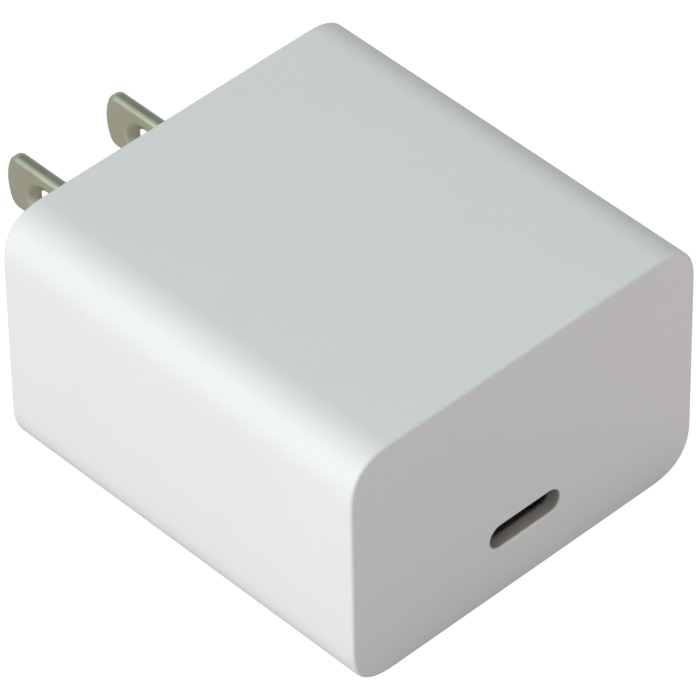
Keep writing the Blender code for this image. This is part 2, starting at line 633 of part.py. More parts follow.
def build_capacitors():
    sleeve = (0.02, 0.025, 0.05)
    build_can_capacitor("bulk_capacitor_rear", BULK_X, REAR_BULK_Y, BULK_DIAMETER, BULK_HEIGHT,
                        BULK_LEAD_PITCH, sleeve)
    build_can_capacitor("bulk_capacitor_front", BULK_X, FRONT_BULK_Y, BULK_DIAMETER, BULK_HEIGHT,
                        BULK_LEAD_PITCH, sleeve)
    shell_edge = SHELL_INNER_WIDTH / 2 + 2 * SHELL_WALL + PART_SPACING
    inner_x = -shell_edge - OUTPUT_DIAMETER / 2
    outer_x = inner_x - OUTPUT_DIAMETER - PART_SPACING
    y = (BOARD_FRONT_Y + BARRIER_Y) / 2
    for name, x in (("output_capacitor_inner", inner_x), ("output_capacitor_outer", outer_x)):
        build_can_capacitor(name, x, y, OUTPUT_DIAMETER, OUTPUT_HEIGHT, OUTPUT_LEAD_PITCH,
                            (0.66, 0.66, 0.66))

    x = -INSIDE_X + BOARD_SIDE_PLAY + X_CAP_SIZE.x / 2
    y = BOARD_BACK_Y - PART_SPACING - X_CAP_SIZE.y / 2
    x_capacitor = block("x_capacitor", X_CAP_SIZE, (x, y, SEAT_Z))
    add_leads(x_capacitor, [(0, -X_CAP_LEAD_PITCH / 2), (0, X_CAP_LEAD_PITCH / 2)],
              X_CAP_SIZE.z / 4)
    finish(x_capacitor, (0.75, 0.62, 0.05), 0.4)

    y = CORE_Y - CORE_ROW_DEPTH / 2 + Y_CAP_RADIUS
    y_capacitor = disc("y_capacitor", "X", Y_CAP_RADIUS, Y_CAP_THICKNESS, (MIDDLE_X, y))
    add_leads(y_capacitor, [(0, -Y_CAP_LEAD_PITCH / 2), (0, Y_CAP_LEAD_PITCH / 2)], 0.0)
    finish(y_capacitor, (0.05, 0.22, 0.55), 0.4)


def block(name, size, place):
    outline = box_outline(-size.x / 2, size.x / 2, -size.y / 2, size.y / 2)
    body = prism(name, outline, "Z", 0.0, size.z, place)
    round_edges(body, 0.2 * MM, 1)
    return body


def disc(name, axis, radius, thickness, place):
    """A disc standing on its edge, with its centre as its own origin."""
    outline = circle_outline(radius, 20)
    x, y = place
    body = prism(name, outline, axis, -thickness / 2, thickness / 2, (x, y, SEAT_Z + radius))
    round_edges(body, thickness / 5, 1)
    return body


# ---- Mains side
def build_choke():
    half = CHOKE_WIDTH / 2
    x = INSIDE_X - BOARD_SIDE_PLAY - half - GAP - CHOKE_WINDING
    centre_z = SEAT_Z + CHOKE_BASE + GAP + CHOKE_REACH
    place = (x, CHOKE_Y, centre_z)
    outer = circle_outline(CHOKE_OUTER_RADIUS, CAN_SIDES)
    inner = circle_outline(CHOKE_INNER_RADIUS, CAN_SIDES)
    rings = [ring_points(outer, "X", -half), ring_points(outer, "X", half),
             ring_points(inner, "X", half), ring_points(inner, "X", -half)]
    core = loft("choke_core", rings, place, closed=True)
    finish(core, (0.02, 0.16, 0.07), 0.45)

    for name, middle in (("choke_winding_front", math.pi), ("choke_winding_rear", 0.0)):
        rings = choke_sleeve(middle, GAP + CHOKE_WINDING) + choke_sleeve(middle, GAP)[::-1]
        winding = loft(name, rings, place, closed=True)
        finish(winding, (0.62, 0.27, 0.09), 0.35, 0.8)

    size = Vector((CHOKE_WIDTH + 2 * CHOKE_WINDING, 2 * CHOKE_REACH - GAP, CHOKE_BASE))
    base = block("choke_base", size, (x, CHOKE_Y, SEAT_Z))
    add_leads(base, mirrored_pairs(CHOKE_LEAD_PITCH_X, CHOKE_LEAD_PITCH_Y), CHOKE_BASE / 2)
    finish(base, (0.03, 0.03, 0.03), 0.5)


def choke_sleeve(middle, offset):
    """Sections around the choke's ring, at an offset from it, along one winding's arc."""
    width = CHOKE_WIDTH + 2 * offset
    depth = CHOKE_OUTER_RADIUS - CHOKE_INNER_RADIUS + 2 * offset
    section = rounded_outline(width, depth, 0.3 * MM + offset / 2, steps=2)
    centre = (CHOKE_OUTER_RADIUS + CHOKE_INNER_RADIUS) / 2
    rings = []
    steps = 10
    for step in range(steps + 1):
        angle = middle + CHOKE_ARC * (step / steps - 0.5)
        outward = Vector((0, math.cos(angle), math.sin(angle)))
        rings.append([Vector((a, 0, 0)) + outward * (centre + b) for a, b in section])
    return rings


def build_mains_parts():
    fuse_y = BRIDGE_BACK_Y + 2 * PART_SPACING + FUSE_SIZE.y / 2
    fuse = block("input_fuse", FUSE_SIZE, (0, fuse_y, SEAT_Z))
    add_leads(fuse, [(-FUSE_LEAD_PITCH / 2, 0), (FUSE_LEAD_PITCH / 2, 0)], FUSE_SIZE.z / 4)
    finish(fuse, (0.20, 0.09, 0.04), 0.4)

    bridge_x = -COLUMN_X + BRIDGE_SIZE.x / 2
    bridge = block("bridge_rectifier", BRIDGE_SIZE, (bridge_x, BRIDGE_Y, SEAT_Z + BRIDGE_STAND))
    columns = (-1.5, -0.5, 0.5, 1.5)
    add_leads(bridge, [(column * BRIDGE_LEAD_PITCH, 0) for column in columns],
              BRIDGE_SIZE.z / 4, 0.4 * MM)
    finish(bridge, (0.02, 0.02, 0.021), 0.45)

    x = bridge_x + BRIDGE_SIZE.x / 2 + PART_SPACING + THERMISTOR_RADIUS
    thermistor = disc("thermistor", "Y", THERMISTOR_RADIUS, THERMISTOR_THICKNESS, (x, BRIDGE_Y))
    pitch = THERMISTOR_LEAD_PITCH
    add_leads(thermistor, [(-pitch / 2, 0), (pitch / 2, 0)], 0.0)
    finish(thermistor, (0.02, 0.10, 0.05), 0.5)


# ---- Small chips and sheets
def build_chips():
    coupler_y = CORE_Y + CORE_ROW_DEPTH / 2 - COUPLER_SIZE.y / 2
    coupler = block("optocoupler", COUPLER_SIZE, (MIDDLE_X, coupler_y, SEAT_Z + GAP))
    places = mirrored_pairs(COUPLER_LEAD_PITCH, COUPLER_SIZE.y - 2 * LEAD_RADIUS - 2 * GAP)
    add_leads(coupler, places, COUPLER_SIZE.z / 3)
    finish(coupler, (0.80, 0.80, 0.76), 0.5)
    switch_x = BULK_X - LEAD_RADIUS - PART_SPACING - SWITCH_SIZE.x / 2
    switch_y = (FRONT_BULK_Y + REAR_BULK_Y) / 2
    chips = (("primary_switch", SWITCH_SIZE, switch_x, switch_y),
             ("sync_rectifier", RECTIFIER_SIZE, CORE_X, CORE_Y),
             ("port_controller", CONTROLLER_SIZE, 0.0, BARRIER_Y - CONTROLLER_SIZE.y / 2))
    for name, size, x, y in chips:
        chip = block(name, size, (x, y, BOARD_BOTTOM_Z - GAP - size.z))
        finish(chip, (0.02, 0.02, 0.021), 0.4)


def build_barrier():
    corner_x = BULK_X - BULK_DIAMETER / 2 - PART_SPACING
    y = BARRIER_Y + BARRIER_THICKNESS / 2
    line = [(-COLUMN_X, y), (corner_x, y), (corner_x, y - BARRIER_LEG)]
    outline = strip_outline(line, BARRIER_THICKNESS)
    barrier = prism("isolation_barrier", outline, "Z", SEAT_Z, ROOF_Z - BARRIER_HEADROOM)
    finish(barrier, (0.55, 0.50, 0.32), 0.3)


def build_spreader(name, side, inner_x, y_low, y_high):
    """A sheet up one side wall, bent in under the roof as far as inner_x."""
    wall_x = INSIDE_X - GAP - SPREADER_THICKNESS / 2
    line = [(side * wall_x, SEAT_Z), (side * wall_x, SPREADER_BEND_Z),
            (side * (wall_x - SPREADER_BEND_RUN), SPREADER_Z), (inner_x, SPREADER_Z)]
    spreader = prism(name, strip_outline(line, SPREADER_THICKNESS), "Y", y_low, y_high)
    finish(spreader, (0.70, 0.71, 0.72), 0.35, 1.0)


def build_cooling():
    y_low = CORE_Y - CORE_ROW_DEPTH / 2
    y_high = CORE_Y + CORE_ROW_DEPTH / 2
    build_spreader("left_heat_spreader", -1, CORE_X + CORE_WIDTH / 2, y_low, y_high)
    build_spreader("right_heat_spreader", 1, BULK_X - BULK_DIAMETER / 2,
                   FRONT_BULK_Y - BULK_DIAMETER / 2, REAR_BULK_Y + BULK_DIAMETER / 2)
    size = Vector((CORE_WIDTH - 2 * SPREADER_BEND_RUN, CORE_DEPTH, PAD_THICKNESS))
    x = CORE_X + SPREADER_BEND_RUN
    outline = box_outline(x - size.x / 2, x + size.x / 2, CORE_Y - size.y / 2, CORE_Y + size.y / 2)
    pad = prism("thermal_pad", outline, "Z", CORE_TOP_Z + GAP, CORE_TOP_Z + GAP + size.z)
    finish(pad, (0.35, 0.45, 0.60), 0.8)


# ---- Board, built last because every lead has noted its hole
def build_board():
    half = INSIDE_X - BOARD_SIDE_PLAY
    inner = half - BOARD_CHAMFER
    outline = [(-inner, BOARD_FRONT_Y), (inner, BOARD_FRONT_Y),
               (half, BOARD_FRONT_Y + BOARD_CHAMFER), (half, BOARD_BACK_Y - BOARD_CHAMFER),
               (inner, BOARD_BACK_Y), (-inner, BOARD_BACK_Y),
               (-half, BOARD_BACK_Y - BOARD_CHAMFER), (-half, BOARD_FRONT_Y + BOARD_CHAMFER)]
    board = prism("main_board", outline, "Z", BOARD_BOTTOM_Z, BOARD_TOP_Z)
    holes = []
    for index, (x, y, radius) in enumerate(PIN_HOLES):
        holes.append(can(f"hole_{index}", radius + PIN_PLAY, BOARD_BOTTOM_Z - GAP,
                         BOARD_TOP_Z + GAP, 8, (x, y, 0)))
    cut(board, join_solids("board_holes", holes))
    finish(board, (0.02, 0.13, 0.06), 0.45)

    half = INSIDE_X - LEDGE_WIDTH - FILM_INSET
    outline = box_outline(-half, half, BOARD_FRONT_Y + FILM_INSET, BOARD_BACK_Y - FILM_INSET)
    film = prism("board_insulator", outline, "Z", WALL + GAP, WALL + GAP + FILM_THICKNESS)
    finish(film, (0.10, 0.10, 0.11), 0.35)


build_housing()
build_back_cap()
build_blade("left_blade", -1)
build_blade("right_blade", 1)
build_blade_carrier()
build_contact_spring("left_contact_spring", -1)
build_contact_spring("right_contact_spring", 1)
build_usb_shell()
build_usb_tongue()
build_transformer()
build_capacitors()
build_choke()
build_mains_parts()
build_chips()
build_barrier()
build_cooling()
build_board()
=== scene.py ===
"""Looks of the wall-plug laptop power adapter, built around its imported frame.

Metres, +Z up. The blades point along +Y and the USB-C socket opens towards -Y.
"""
import math

import bmesh
import bpy
from mathutils import Matrix, Vector


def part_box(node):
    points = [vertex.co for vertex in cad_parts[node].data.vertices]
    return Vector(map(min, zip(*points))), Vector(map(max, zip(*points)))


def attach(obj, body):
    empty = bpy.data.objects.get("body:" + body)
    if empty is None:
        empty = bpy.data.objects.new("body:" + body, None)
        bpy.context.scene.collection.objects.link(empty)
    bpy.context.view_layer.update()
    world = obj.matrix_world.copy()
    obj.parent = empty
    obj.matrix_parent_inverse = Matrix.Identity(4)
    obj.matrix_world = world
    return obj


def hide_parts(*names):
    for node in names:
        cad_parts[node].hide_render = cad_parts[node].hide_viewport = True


MM = 0.001

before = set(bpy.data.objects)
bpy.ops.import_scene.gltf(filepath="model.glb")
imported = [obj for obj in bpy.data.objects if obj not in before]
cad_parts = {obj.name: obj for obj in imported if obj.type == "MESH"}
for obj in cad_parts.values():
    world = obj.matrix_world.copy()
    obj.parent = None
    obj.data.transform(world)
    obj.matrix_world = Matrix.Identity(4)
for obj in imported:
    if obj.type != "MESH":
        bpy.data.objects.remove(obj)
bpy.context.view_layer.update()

# ---- Sizes that the frame's boxes give
HOUSING_LOW, HOUSING_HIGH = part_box("housing")
WIDTH, DEPTH, HEIGHT = HOUSING_HIGH - HOUSING_LOW
FRONT_Y = HOUSING_LOW.y
BACK_Y = HOUSING_HIGH.y
MIDDLE = (HOUSING_LOW + HOUSING_HIGH) / 2
CAP_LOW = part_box("back_cap")[0]
TONGUE_LOW, TONGUE_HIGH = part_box("usb_c_tongue")
BLADE_LOW, BLADE_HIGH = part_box("right_blade")
SOCKET_Z = (TONGUE_LOW.z + TONGUE_HIGH.z) / 2
BLADE_Z = (BLADE_LOW.z + BLADE_HIGH.z) / 2
BLADE_X = (BLADE_LOW.x + BLADE_HIGH.x) / 2
BLADE_TIP_Y = BLADE_HIGH.y

# ---- Housing and cap
CORNER_REACH = 5.4 * MM
CORNER_POWER = 2.6
CORNER_STEPS = 28
EDGE_FILLET = 0.35 * MM
FIT_GAP = 0.3 * MM
WALL = 2.0 * MM
FRONT_WALL = 1.9 * MM
CAP_RIM = 1.0 * MM
CAP_SEAT = 2.7 * MM
SLOT_WIDTH = 8.88 * MM
SLOT_HEIGHT = 2.74 * MM
SLOT_LIP = 0.20 * MM
SHELL_POCKET = 0.6 * MM
POCKET_FLARE = 0.5 * MM             # the pocket is this much larger than the slot, all round
HOLD = 0.06 * MM                    # a flat face's last ring stays this close to its edge
CAP_INSIDE_Y = BACK_Y - 2.4 * MM
OPENING_CORNER = 0.3 * MM           # of the cap's two openings for the blades
OPENING_LIP = 0.2 * MM
PEG_RADIUS = 1.0 * MM
PEG_OFFSET = 3.2 * MM
WELD = 0.001 * MM                   # points closer than this become one

# ---- Socket tongue
TONGUE_WIDTH = 6.69 * MM
TONGUE_THICKNESS = 0.7 * MM
TONGUE_BLOCK = 1.3 * MM
CONTACT_SETBACK = 0.7 * MM          # from the tongue's nose
CONTACT_SINK = 0.02 * MM
LATCH_WIDTH = 0.16 * MM
LATCH_HEIGHT = 0.22 * MM

# ---- Windings and cans
TRANSFORMER_WIRE_RADIUS = 0.13 * MM
TRANSFORMER_LOOP_CORNER = 1.3 * MM
CHOKE_INNER_RADIUS = 2.5 * MM
CHOKE_WIRE_RADIUS = 0.34 * MM
CHOKE_WIRE_OFFSET = 0.8 * MM        # from the ring's surface to the wire's middle
CHOKE_LOOP_CORNER = 0.7 * MM
CHOKE_TURNS = 7
CHOKE_SWEEP = math.radians(108)
BOARD_TOP_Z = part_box("main_board")[1].z
LEAD_RADIUS = 0.3 * MM
BULK_LEAD_PITCH = 5.0 * MM
OUTPUT_LEAD_PITCH = 2.5 * MM
VENT_GROOVE = 0.16 * MM
VENT_REACH = 0.26                   # of the can's diameter
SLEEVE_LAP = 0.02 * MM

# ---- Plug blades
BLADE_THICKNESS = BLADE_HIGH.x - BLADE_LOW.x
BLADE_WIDTH = 6.3 * MM
BLADE_NOSE_RADIUS = 6.5 * MM
BLADE_CORNER_RADIUS = 1.3 * MM
BLADE_EDGE_FILLET = 0.5 * MM
BLADE_HOLE_RADIUS = 1.4 * MM
BLADE_HOLE_FROM_FACE = 11.4 * MM
BLADE_HOLE_DROP = 0.3 * MM
BLADE_DIMPLE_RADIUS = 2.4 * MM
BLADE_DIMPLE_DEPTH = 0.5 * MM
DIMPLE_STEPS = 6
HOLE_Y = BACK_Y + BLADE_HOLE_FROM_FACE
HOLE_Z = BLADE_Z - BLADE_HOLE_DROP

# ---- Studio
SEEN_FLOOR = (0.90, 0.90, 0.90)         # as the camera sees it
OPEN_FLOOR = (0.222, 0.170, 0.163)      # what the adapter gets from the floor
# painted light: the floor's glow, brighter towards the right
RIGHT_FLOOR = (0.372, 0.300, 0.290)
SHADED_FLOOR = (0.048, 0.038, 0.036)
CONTACT_SHADE = 9 * MM                  # how far round the adapter the floor stays darker
SHADE_SHIFT = 4 * MM                    # and how far that shade lies to the left
SKY_GLOW = 0.49
SKY_EDGE = (0.975, 0.848, 0.858)
SKY_TOP = (1.18, 1.31, 1.33)
UNLIT_CORNER = (0.504, 0.535, 0.678)    # the studio's far corner, which the adapter's top reflects
UNLIT_COLOUR = (0.26, 0.26, 0.26)
UNLIT_FOCUS = 11.0
KEY_COLOUR = (0.96, 1.0, 0.98)
KEY_ENERGY = 6.8
KEY_WIDTH = 0.9
KEY_HEIGHT = 0.7
KEY_DISTANCE = 1.0
KEY_ELEVATION = math.radians(23)
KEY_ASIDE = 0.03                        # how far the light stands in front of the adapter's side
CAMERA_AZIMUTH = math.radians(-43.18)
CAMERA_ELEVATION = math.radians(42.69)
CAMERA_ROLL = math.radians(-0.985)
CAMERA_DISTANCE = 0.6295
CAMERA_ASIDE = -0.049 * MM
CAMERA_RISE = 0.6436 * MM
CAMERA_LENS = 349.15
CAMERA_SENSOR = 36.0


# ---------------------------------------------------------------- node trees written in Python
class Link:
    """A socket that arithmetic works on: each operator adds a Math node."""

    def __init__(self, writer, socket):
        self.writer = writer
        self.socket = socket

    def maths(self, operation, first, second=None, third=None):
        values = {0: first}
        if second is not None:
            values[1] = second
        if third is not None:
            values[2] = third
        return self.writer.add("ShaderNodeMath", {"operation": operation}, values)

    def __add__(self, other):
        return self.maths("ADD", self, other)

    def __radd__(self, other):
        return self.maths("ADD", other, self)

    def __sub__(self, other):
        return self.maths("SUBTRACT", self, other)

    def __rsub__(self, other):
        return self.maths("SUBTRACT", other, self)

    def __mul__(self, other):
        return self.maths("MULTIPLY", self, other)

    def __rmul__(self, other):
        return self.maths("MULTIPLY", other, self)

    def __truediv__(self, other):
        return self.maths("DIVIDE", self, other)

    def __rtruediv__(self, other):
        return self.maths("DIVIDE", other, self)

    def __pow__(self, other):
        return self.maths("POWER", self, other)

    def __gt__(self, other):
        return self.maths("GREATER_THAN", self, other)

    def __lt__(self, other):
        return self.maths("LESS_THAN", self, other)

    def op(self, operation, *others):
        return self.maths(operation, self, *others)


class Writer:
    """Writes one node tree, for a material, the world or Geometry Nodes."""

    def __init__(self, tree):
        self.tree = tree

    def feed(self, socket, value):
        if isinstance(value, Link):
            self.tree.links.new(value.socket, socket)
        else:
            socket.default_value = value

    def node(self, kind, settings=None, values=None):
        made = self.tree.nodes.new(kind)
        for name, value in (settings or {}).items():
            setattr(made, name, value)
        for key, value in (values or {}).items():
            self.feed(made.inputs[key], value)
        return made

    def add(self, kind, settings=None, values=None, output=0):
        """A new node's output, as a Link."""
        return Link(self, self.node(kind, settings, values).outputs[output])

    def inputs(self):
        """The tree's own named inputs, as Links."""
        given = self.node("NodeGroupInput")
        return {socket.name: Link(self, socket) for socket in given.outputs if socket.name}

    def split(self, where):
        """The x, y and z of a vector, as Links."""
        parts = self.node("ShaderNodeSeparateXYZ", {}, {0: where})
        return [Link(self, socket) for socket in parts.outputs]

    def vector(self, operation, first, second):
        """Vector maths; a distance or dot product is a number and comes from the second output."""
        output = 1 if operation in ("DISTANCE", "DOT_PRODUCT") else 0
        return self.add("ShaderNodeVectorMath", {"operation": operation},
                        {0: first, 1: second}, output)


def mix_colours(writer, share, first, second):
    """Colour first where share is 0, second where it is 1."""
    node = writer.node("ShaderNodeMix", {"data_type": "RGBA"})
    writer.feed(node.inputs[0], share)
    writer.feed(node.inputs[6], first if isinstance(first, Link) else (*first, 1.0))
    writer.feed(node.inputs[7], second if isinstance(second, Link) else (*second, 1.0))
    return Link(writer, node.outputs[2])


def noise(writer, where, scale, detail=2.0, roughness=0.5):
    return writer.add("ShaderNodeTexNoise", {}, {
        "Vector": where, "Scale": scale, "Detail": detail, "Roughness": roughness})


def stretched(writer, where, scale):
    """Coordinates scaled differently along each axis."""
    return writer.add("ShaderNodeMapping", {}, {"Vector": where, "Scale": scale})


def bump(writer, height, distance, strength=1.0, normal=None):
    values = {"Height": height, "Distance": distance, "Strength": strength}
    if normal is not None:
        values["Normal"] = normal
    return writer.add("ShaderNodeBump", {}, values)


def fade(writer, value, start, end):
    """0 before start, 1 after end."""
    return writer.add("ShaderNodeMapRange", {"interpolation_type": "SMOOTHSTEP"}, {
        "Value": value, "From Min": start, "From Max": end})


def scratches(writer, where, scale):
    """Sparse thin lines, from the ridges of stretched noise."""
    field = noise(writer, stretched(writer, where, (scale, scale * 0.12, scale * 0.5)), 1.0, 1.0)
    ridge = (field - 0.5).op("ABSOLUTE") < 0.004
    patch = noise(writer, where, scale * 0.2, 1.0) > 0.56
    return ridge * patch


def new_material(name):
    """A material with its writer, its shader node and its Object coordinates."""
    made = bpy.data.materials.new(name)
    made.use_nodes = True
    writer = Writer(made.node_tree)
    shader = made.node_tree.nodes["Principled BSDF"]
    where = writer.add("ShaderNodeTexCoord", output=3)
    return made, writer, shader, where


def dress(writer, shader, colour, roughness, normal):
    """Feeds the three sockets that every material varies."""
    for name, value in (("Base Color", colour), ("Roughness", roughness), ("Normal", normal)):
        writer.feed(shader.inputs[name], value)


# ---------------------------------------------------------------- materials
def moulded_white():
    """White satin plastic with the faint grain of its mould, and painted shade that darkens the
    inside of the slot, darkest towards its right-hand end.
    """
    made, w, shader, where = new_material("moulded_white")
    grain = noise(w, where, 9000.0, 3.0, 0.6)
    cloud = noise(w, where, 60.0, 3.0, 0.5)
    scuff = scratches(w, where, 700.0)
    tone = mix_colours(w, cloud, (0.815, 0.838, 0.828), (0.835, 0.858, 0.848))
    aside, deep, height = w.split(where)
    beside = (height - SOCKET_Z).op("ABSOLUTE")
    far_end = fade(w, aside, SLOT_WIDTH / 2 - 1.5 * MM, SLOT_WIDTH / 2 - 0.2 * MM)
    inside = fade(w, deep + far_end * (0.10 * MM), FRONT_Y, FRONT_Y + 0.26 * MM)
    within_width = aside.op("ABSOLUTE") < SLOT_WIDTH / 2 + 0.4 * MM
    near_slot = within_width * (beside < SLOT_HEIGHT / 2 + 0.4 * MM)
    behind_face = (deep > FRONT_Y + 0.004 * MM) * (deep < FRONT_Y + 2.5 * MM)
    # painted shade: the inside of the slot is coloured darker, and darker still towards its
    # right-hand end
    painted_slot_shade = inside * near_slot * behind_face
    slot_shade_colour = mix_colours(w, far_end, (0.36, 0.31, 0.285), (0.16, 0.155, 0.145))
    fine = bump(w, grain, 0.000006, 0.5)
    dress(w, shader, mix_colours(w, painted_slot_shade * (0.8 + cloud * 0.2), tone, slot_shade_colour),
          0.53 + (cloud - 0.5) * 0.10 - scuff * 0.05, bump(w, scuff, -0.000004, 0.3, fine))
    shader.inputs["IOR"].default_value = 1.48
    return made


def nickel_plate():
    """Satin nickel, finely brushed along the blade, rubbed by outlets, with painted shade over the
    upper part of its dimple and a painted highlight on the dimple's lower rim.
    """
    made, w, shader, where = new_material("nickel_plate")
    brushed = noise(w, stretched(w, where, (9000.0, 500.0, 9000.0)), 1.0, 2.0, 0.5)
    cloud = noise(w, where, 350.0, 3.0, 0.5)
    rubbed = noise(w, stretched(w, where, (2500.0, 120.0, 2500.0)), 1.0, 2.0, 0.5) > 0.62
    tone = mix_colours(w, cloud, (0.635, 0.690, 0.525), (0.725, 0.780, 0.605))
    tone = mix_colours(w, rubbed * 0.25, tone, (0.75, 0.80, 0.65))
    _, out, height = w.split(where)
    along = out - HOLE_Y
    rise = height - HOLE_Z
    reach = (along * along + rise * rise).op("SQRT")
    upper = fade(w, rise, -1.2 * MM, 0.8 * MM)
    pressed = fade(w, reach, BLADE_DIMPLE_RADIUS + 0.1 * MM, BLADE_DIMPLE_RADIUS - 0.6 * MM)
    # painted shade: the upper part of the dimple is coloured darker
    tone = mix_colours(w, pressed * upper * 0.5, tone, (0.28, 0.30, 0.22))
    # painted highlight: a pale band round the dimple's rim, kept to its lower part
    rim = fade(w, (reach - BLADE_DIMPLE_RADIUS).op("ABSOLUTE"), 0.4 * MM, 0.0)
    dress(w, shader, mix_colours(w, rim * (1.0 - upper) * 0.7, tone, (0.94, 0.95, 0.80)),
          0.34 + (brushed - 0.5) * 0.10 + (cloud - 0.5) * 0.06 - rubbed * 0.04,
          bump(w, brushed, 0.000004, 0.4))
    shader.inputs["Metallic"].default_value = 1.0
    return made


def worked_metal(name, dark, light, roughness, along):
    """Drawn, rolled or plated metal with fine lines along one axis and faint tarnish."""
    made, w, shader, where = new_material(name)
    scale = [8000.0, 8000.0, 8000.0]
    scale["XYZ".index(along)] = 400.0
    lines = noise(w, stretched(w, where, scale), 1.0, 2.0, 0.5)
    tarnish = noise(w, where, 420.0, 4.0, 0.6)
    dress(w, shader, mix_colours(w, lines * 0.5 + tarnish * 0.5, dark, light),
          roughness + (lines - 0.5) * 0.12 + (tarnish - 0.5) * 0.10,
          bump(w, lines, 0.000005, 0.5))
    shader.inputs["Metallic"].default_value = 1.0
    return made


def plain_moulding(name, dark, light, roughness, grain_scale=5000.0, grain_height=0.00001):
    """A coloured plastic, paint or epoxy with fine grain, slight clouding and a few scuffs."""
    made, w, shader, where = new_material(name)
    grain = noise(w, where, grain_scale, 2.0, 0.5)
    cloud = noise(w, where, 300.0, 3.0, 0.5)
    scuff = scratches(w, where, 900.0)
    dress(w, shader, mix_colours(w, cloud, dark, light),
          roughness + (cloud - 0.5) * 0.12 + scuff * 0.08, bump(w, grain, grain_height, 0.5))
    return made


def glass_filled(name, dark, light):
    """Moulded plastic in which short glass fibres show as pale flecks."""
    made, w, shader, where = new_material(name)
    fibres = noise(w, stretched(w, where, (5000.0, 900.0, 5000.0)), 1.0, 2.0, 0.6) > 0.64
    grain = noise(w, where, 4500.0, 2.0, 0.5)
    dress(w, shader, mix_colours(w, fibres * 0.35, dark, light),
          0.46 + (grain - 0.5) * 0.12, bump(w, grain, 0.00001, 0.5))
    return made


def ground_ferrite():
    """Dark sintered ceramic, pitted, with ground streaks."""
    made, w, shader, where = new_material("ground_ferrite")
    pores = w.add("ShaderNodeTexVoronoi", {}, {"Vector": where, "Scale": 3500.0})
    pit = pores < 0.16
    streak = noise(w, stretched(w, where, (400.0, 5000.0, 400.0)), 1.0, 2.0, 0.6)
    tone = mix_colours(w, streak, (0.028, 0.027, 0.028), (0.060, 0.058, 0.060))
    rough = bump(w, streak, 0.000006, 0.5)
    # painted shade: the pits are coloured darker than the ceramic round them
    dress(w, shader, mix_colours(w, pit * 0.7, tone, (0.010, 0.010, 0.010)),
          0.52 + (streak - 0.5) * 0.2 + pit * 0.15, bump(w, pit, -0.00001, 0.6, rough))
    return made


def solder_mask():
    """Green lacquer over copper tracks, which show as raised, lighter lines."""
    made, w, shader, where = new_material("solder_mask")
    tracks = w.node("ShaderNodeTexBrick", {"offset": 0.37, "squash": 1.6, "squash_frequency": 3}, {
        "Vector": where, "Scale": 420.0, "Mortar Size": 0.035, "Mortar Smooth": 0.3,
        "Brick Width": 1.3, "Row Height": 0.55})
    raised = Link(w, tracks.outputs["Fac"])
    weave = noise(w, stretched(w, where, (1500.0, 6000.0, 1500.0)), 1.0, 2.0, 0.5)
    tone = mix_colours(w, weave, (0.012, 0.095, 0.040), (0.020, 0.135, 0.060))
    lacquer = bump(w, weave, 0.000006, 0.5)
    dress(w, shader, mix_colours(w, raised * 0.7, tone, (0.035, 0.21, 0.09)),
          0.30 + weave * 0.10 + raised * 0.06, bump(w, raised, 0.00003, 0.8, lacquer))
    return made


def enamelled_copper():
    """Copper wire under clear enamel, slightly uneven in colour from turn to turn."""
    made, w, shader, where = new_material("enamelled_copper")
    turns = noise(w, stretched(w, where, (300.0, 300.0, 2400.0)), 1.0, 2.0, 0.5)
    fine = noise(w, where, 6000.0, 2.0, 0.5)
    dress(w, shader, mix_colours(w, turns, (0.42, 0.13, 0.035), (0.72, 0.30, 0.10)),
          0.26 + (fine - 0.5) * 0.12, bump(w, fine, 0.000004, 0.5))
    shader.inputs["Metallic"].default_value = 0.85
    shader.inputs["Coat Weight"].default_value = 0.5
    shader.inputs["Coat Roughness"].default_value = 0.12
    return made


def polyester_tape():
    """Yellow tape in lapped layers, with wrinkles where they were pulled tight."""
    made, w, shader, where = new_material("polyester_tape")
    height = w.split(where)[2]
    wander = noise(w, where, 150.0, 2.0, 0.5)
    lap = ((height + wander * 0.0006) * 420.0).op("FRACT")
    edge = lap < 0.06
    wrinkle = noise(w, stretched(w, where, (350.0, 350.0, 2200.0)), 1.0, 3.0, 0.6)
    tone = mix_colours(w, wander, (0.70, 0.44, 0.03), (0.86, 0.62, 0.07))
    pulled = bump(w, wrinkle, 0.00003, 0.5)
    dress(w, shader, mix_colours(w, edge * 0.6, tone, (0.45, 0.26, 0.02)),
          0.24 + wrinkle * 0.14, bump(w, lap, 0.00002, 0.5, pulled))
    return made


def shrink_sleeve(name, dark, light, top_z):
    """Dark sleeve shrunk over an aluminium can, whose bare end shows at the top."""
    made, w, shader, where = new_material(name)
    bare = w.split(where)[2] > top_z - SLEEVE_LAP
    shrunk = noise(w, stretched(w, where, (900.0, 900.0, 200.0)), 1.0, 3.0, 0.55)
    spun = noise(w, where, 2500.0, 3.0, 0.6)
    sleeve = mix_colours(w, shrunk, dark, light)
    can = mix_colours(w, spun, (0.60, 0.60, 0.60), (0.74, 0.74, 0.74))
    dress(w, shader, mix_colours(w, bare, sleeve, can),
          0.28 + shrunk * 0.10 + bare * 0.06, bump(w, shrunk, 0.00001, 0.5))
    w.feed(shader.inputs["Metallic"], bare)
    return made


def clear_film(name, dark, light, roughness):
    """Thin polyester or polycarbonate sheet with slight ripples and handling haze."""
    made, w, shader, where = new_material(name)
    ripple = noise(w, where, 220.0, 2.0, 0.5)
    haze = noise(w, where, 1800.0, 4.0, 0.65)
    dress(w, shader, mix_colours(w, ripple * 0.6 + haze * 0.4, dark, light),
          roughness + (haze - 0.5) * 0.2, bump(w, ripple, 0.00004, 0.4))
    shader.inputs["Coat Weight"].default_value = 0.3
    return made


# ---------------------------------------------------------------- pieces
def mesh_object(name, mesh):
    made = bpy.data.objects.new(name, mesh)
    bpy.context.scene.collection.objects.link(made)
    return made


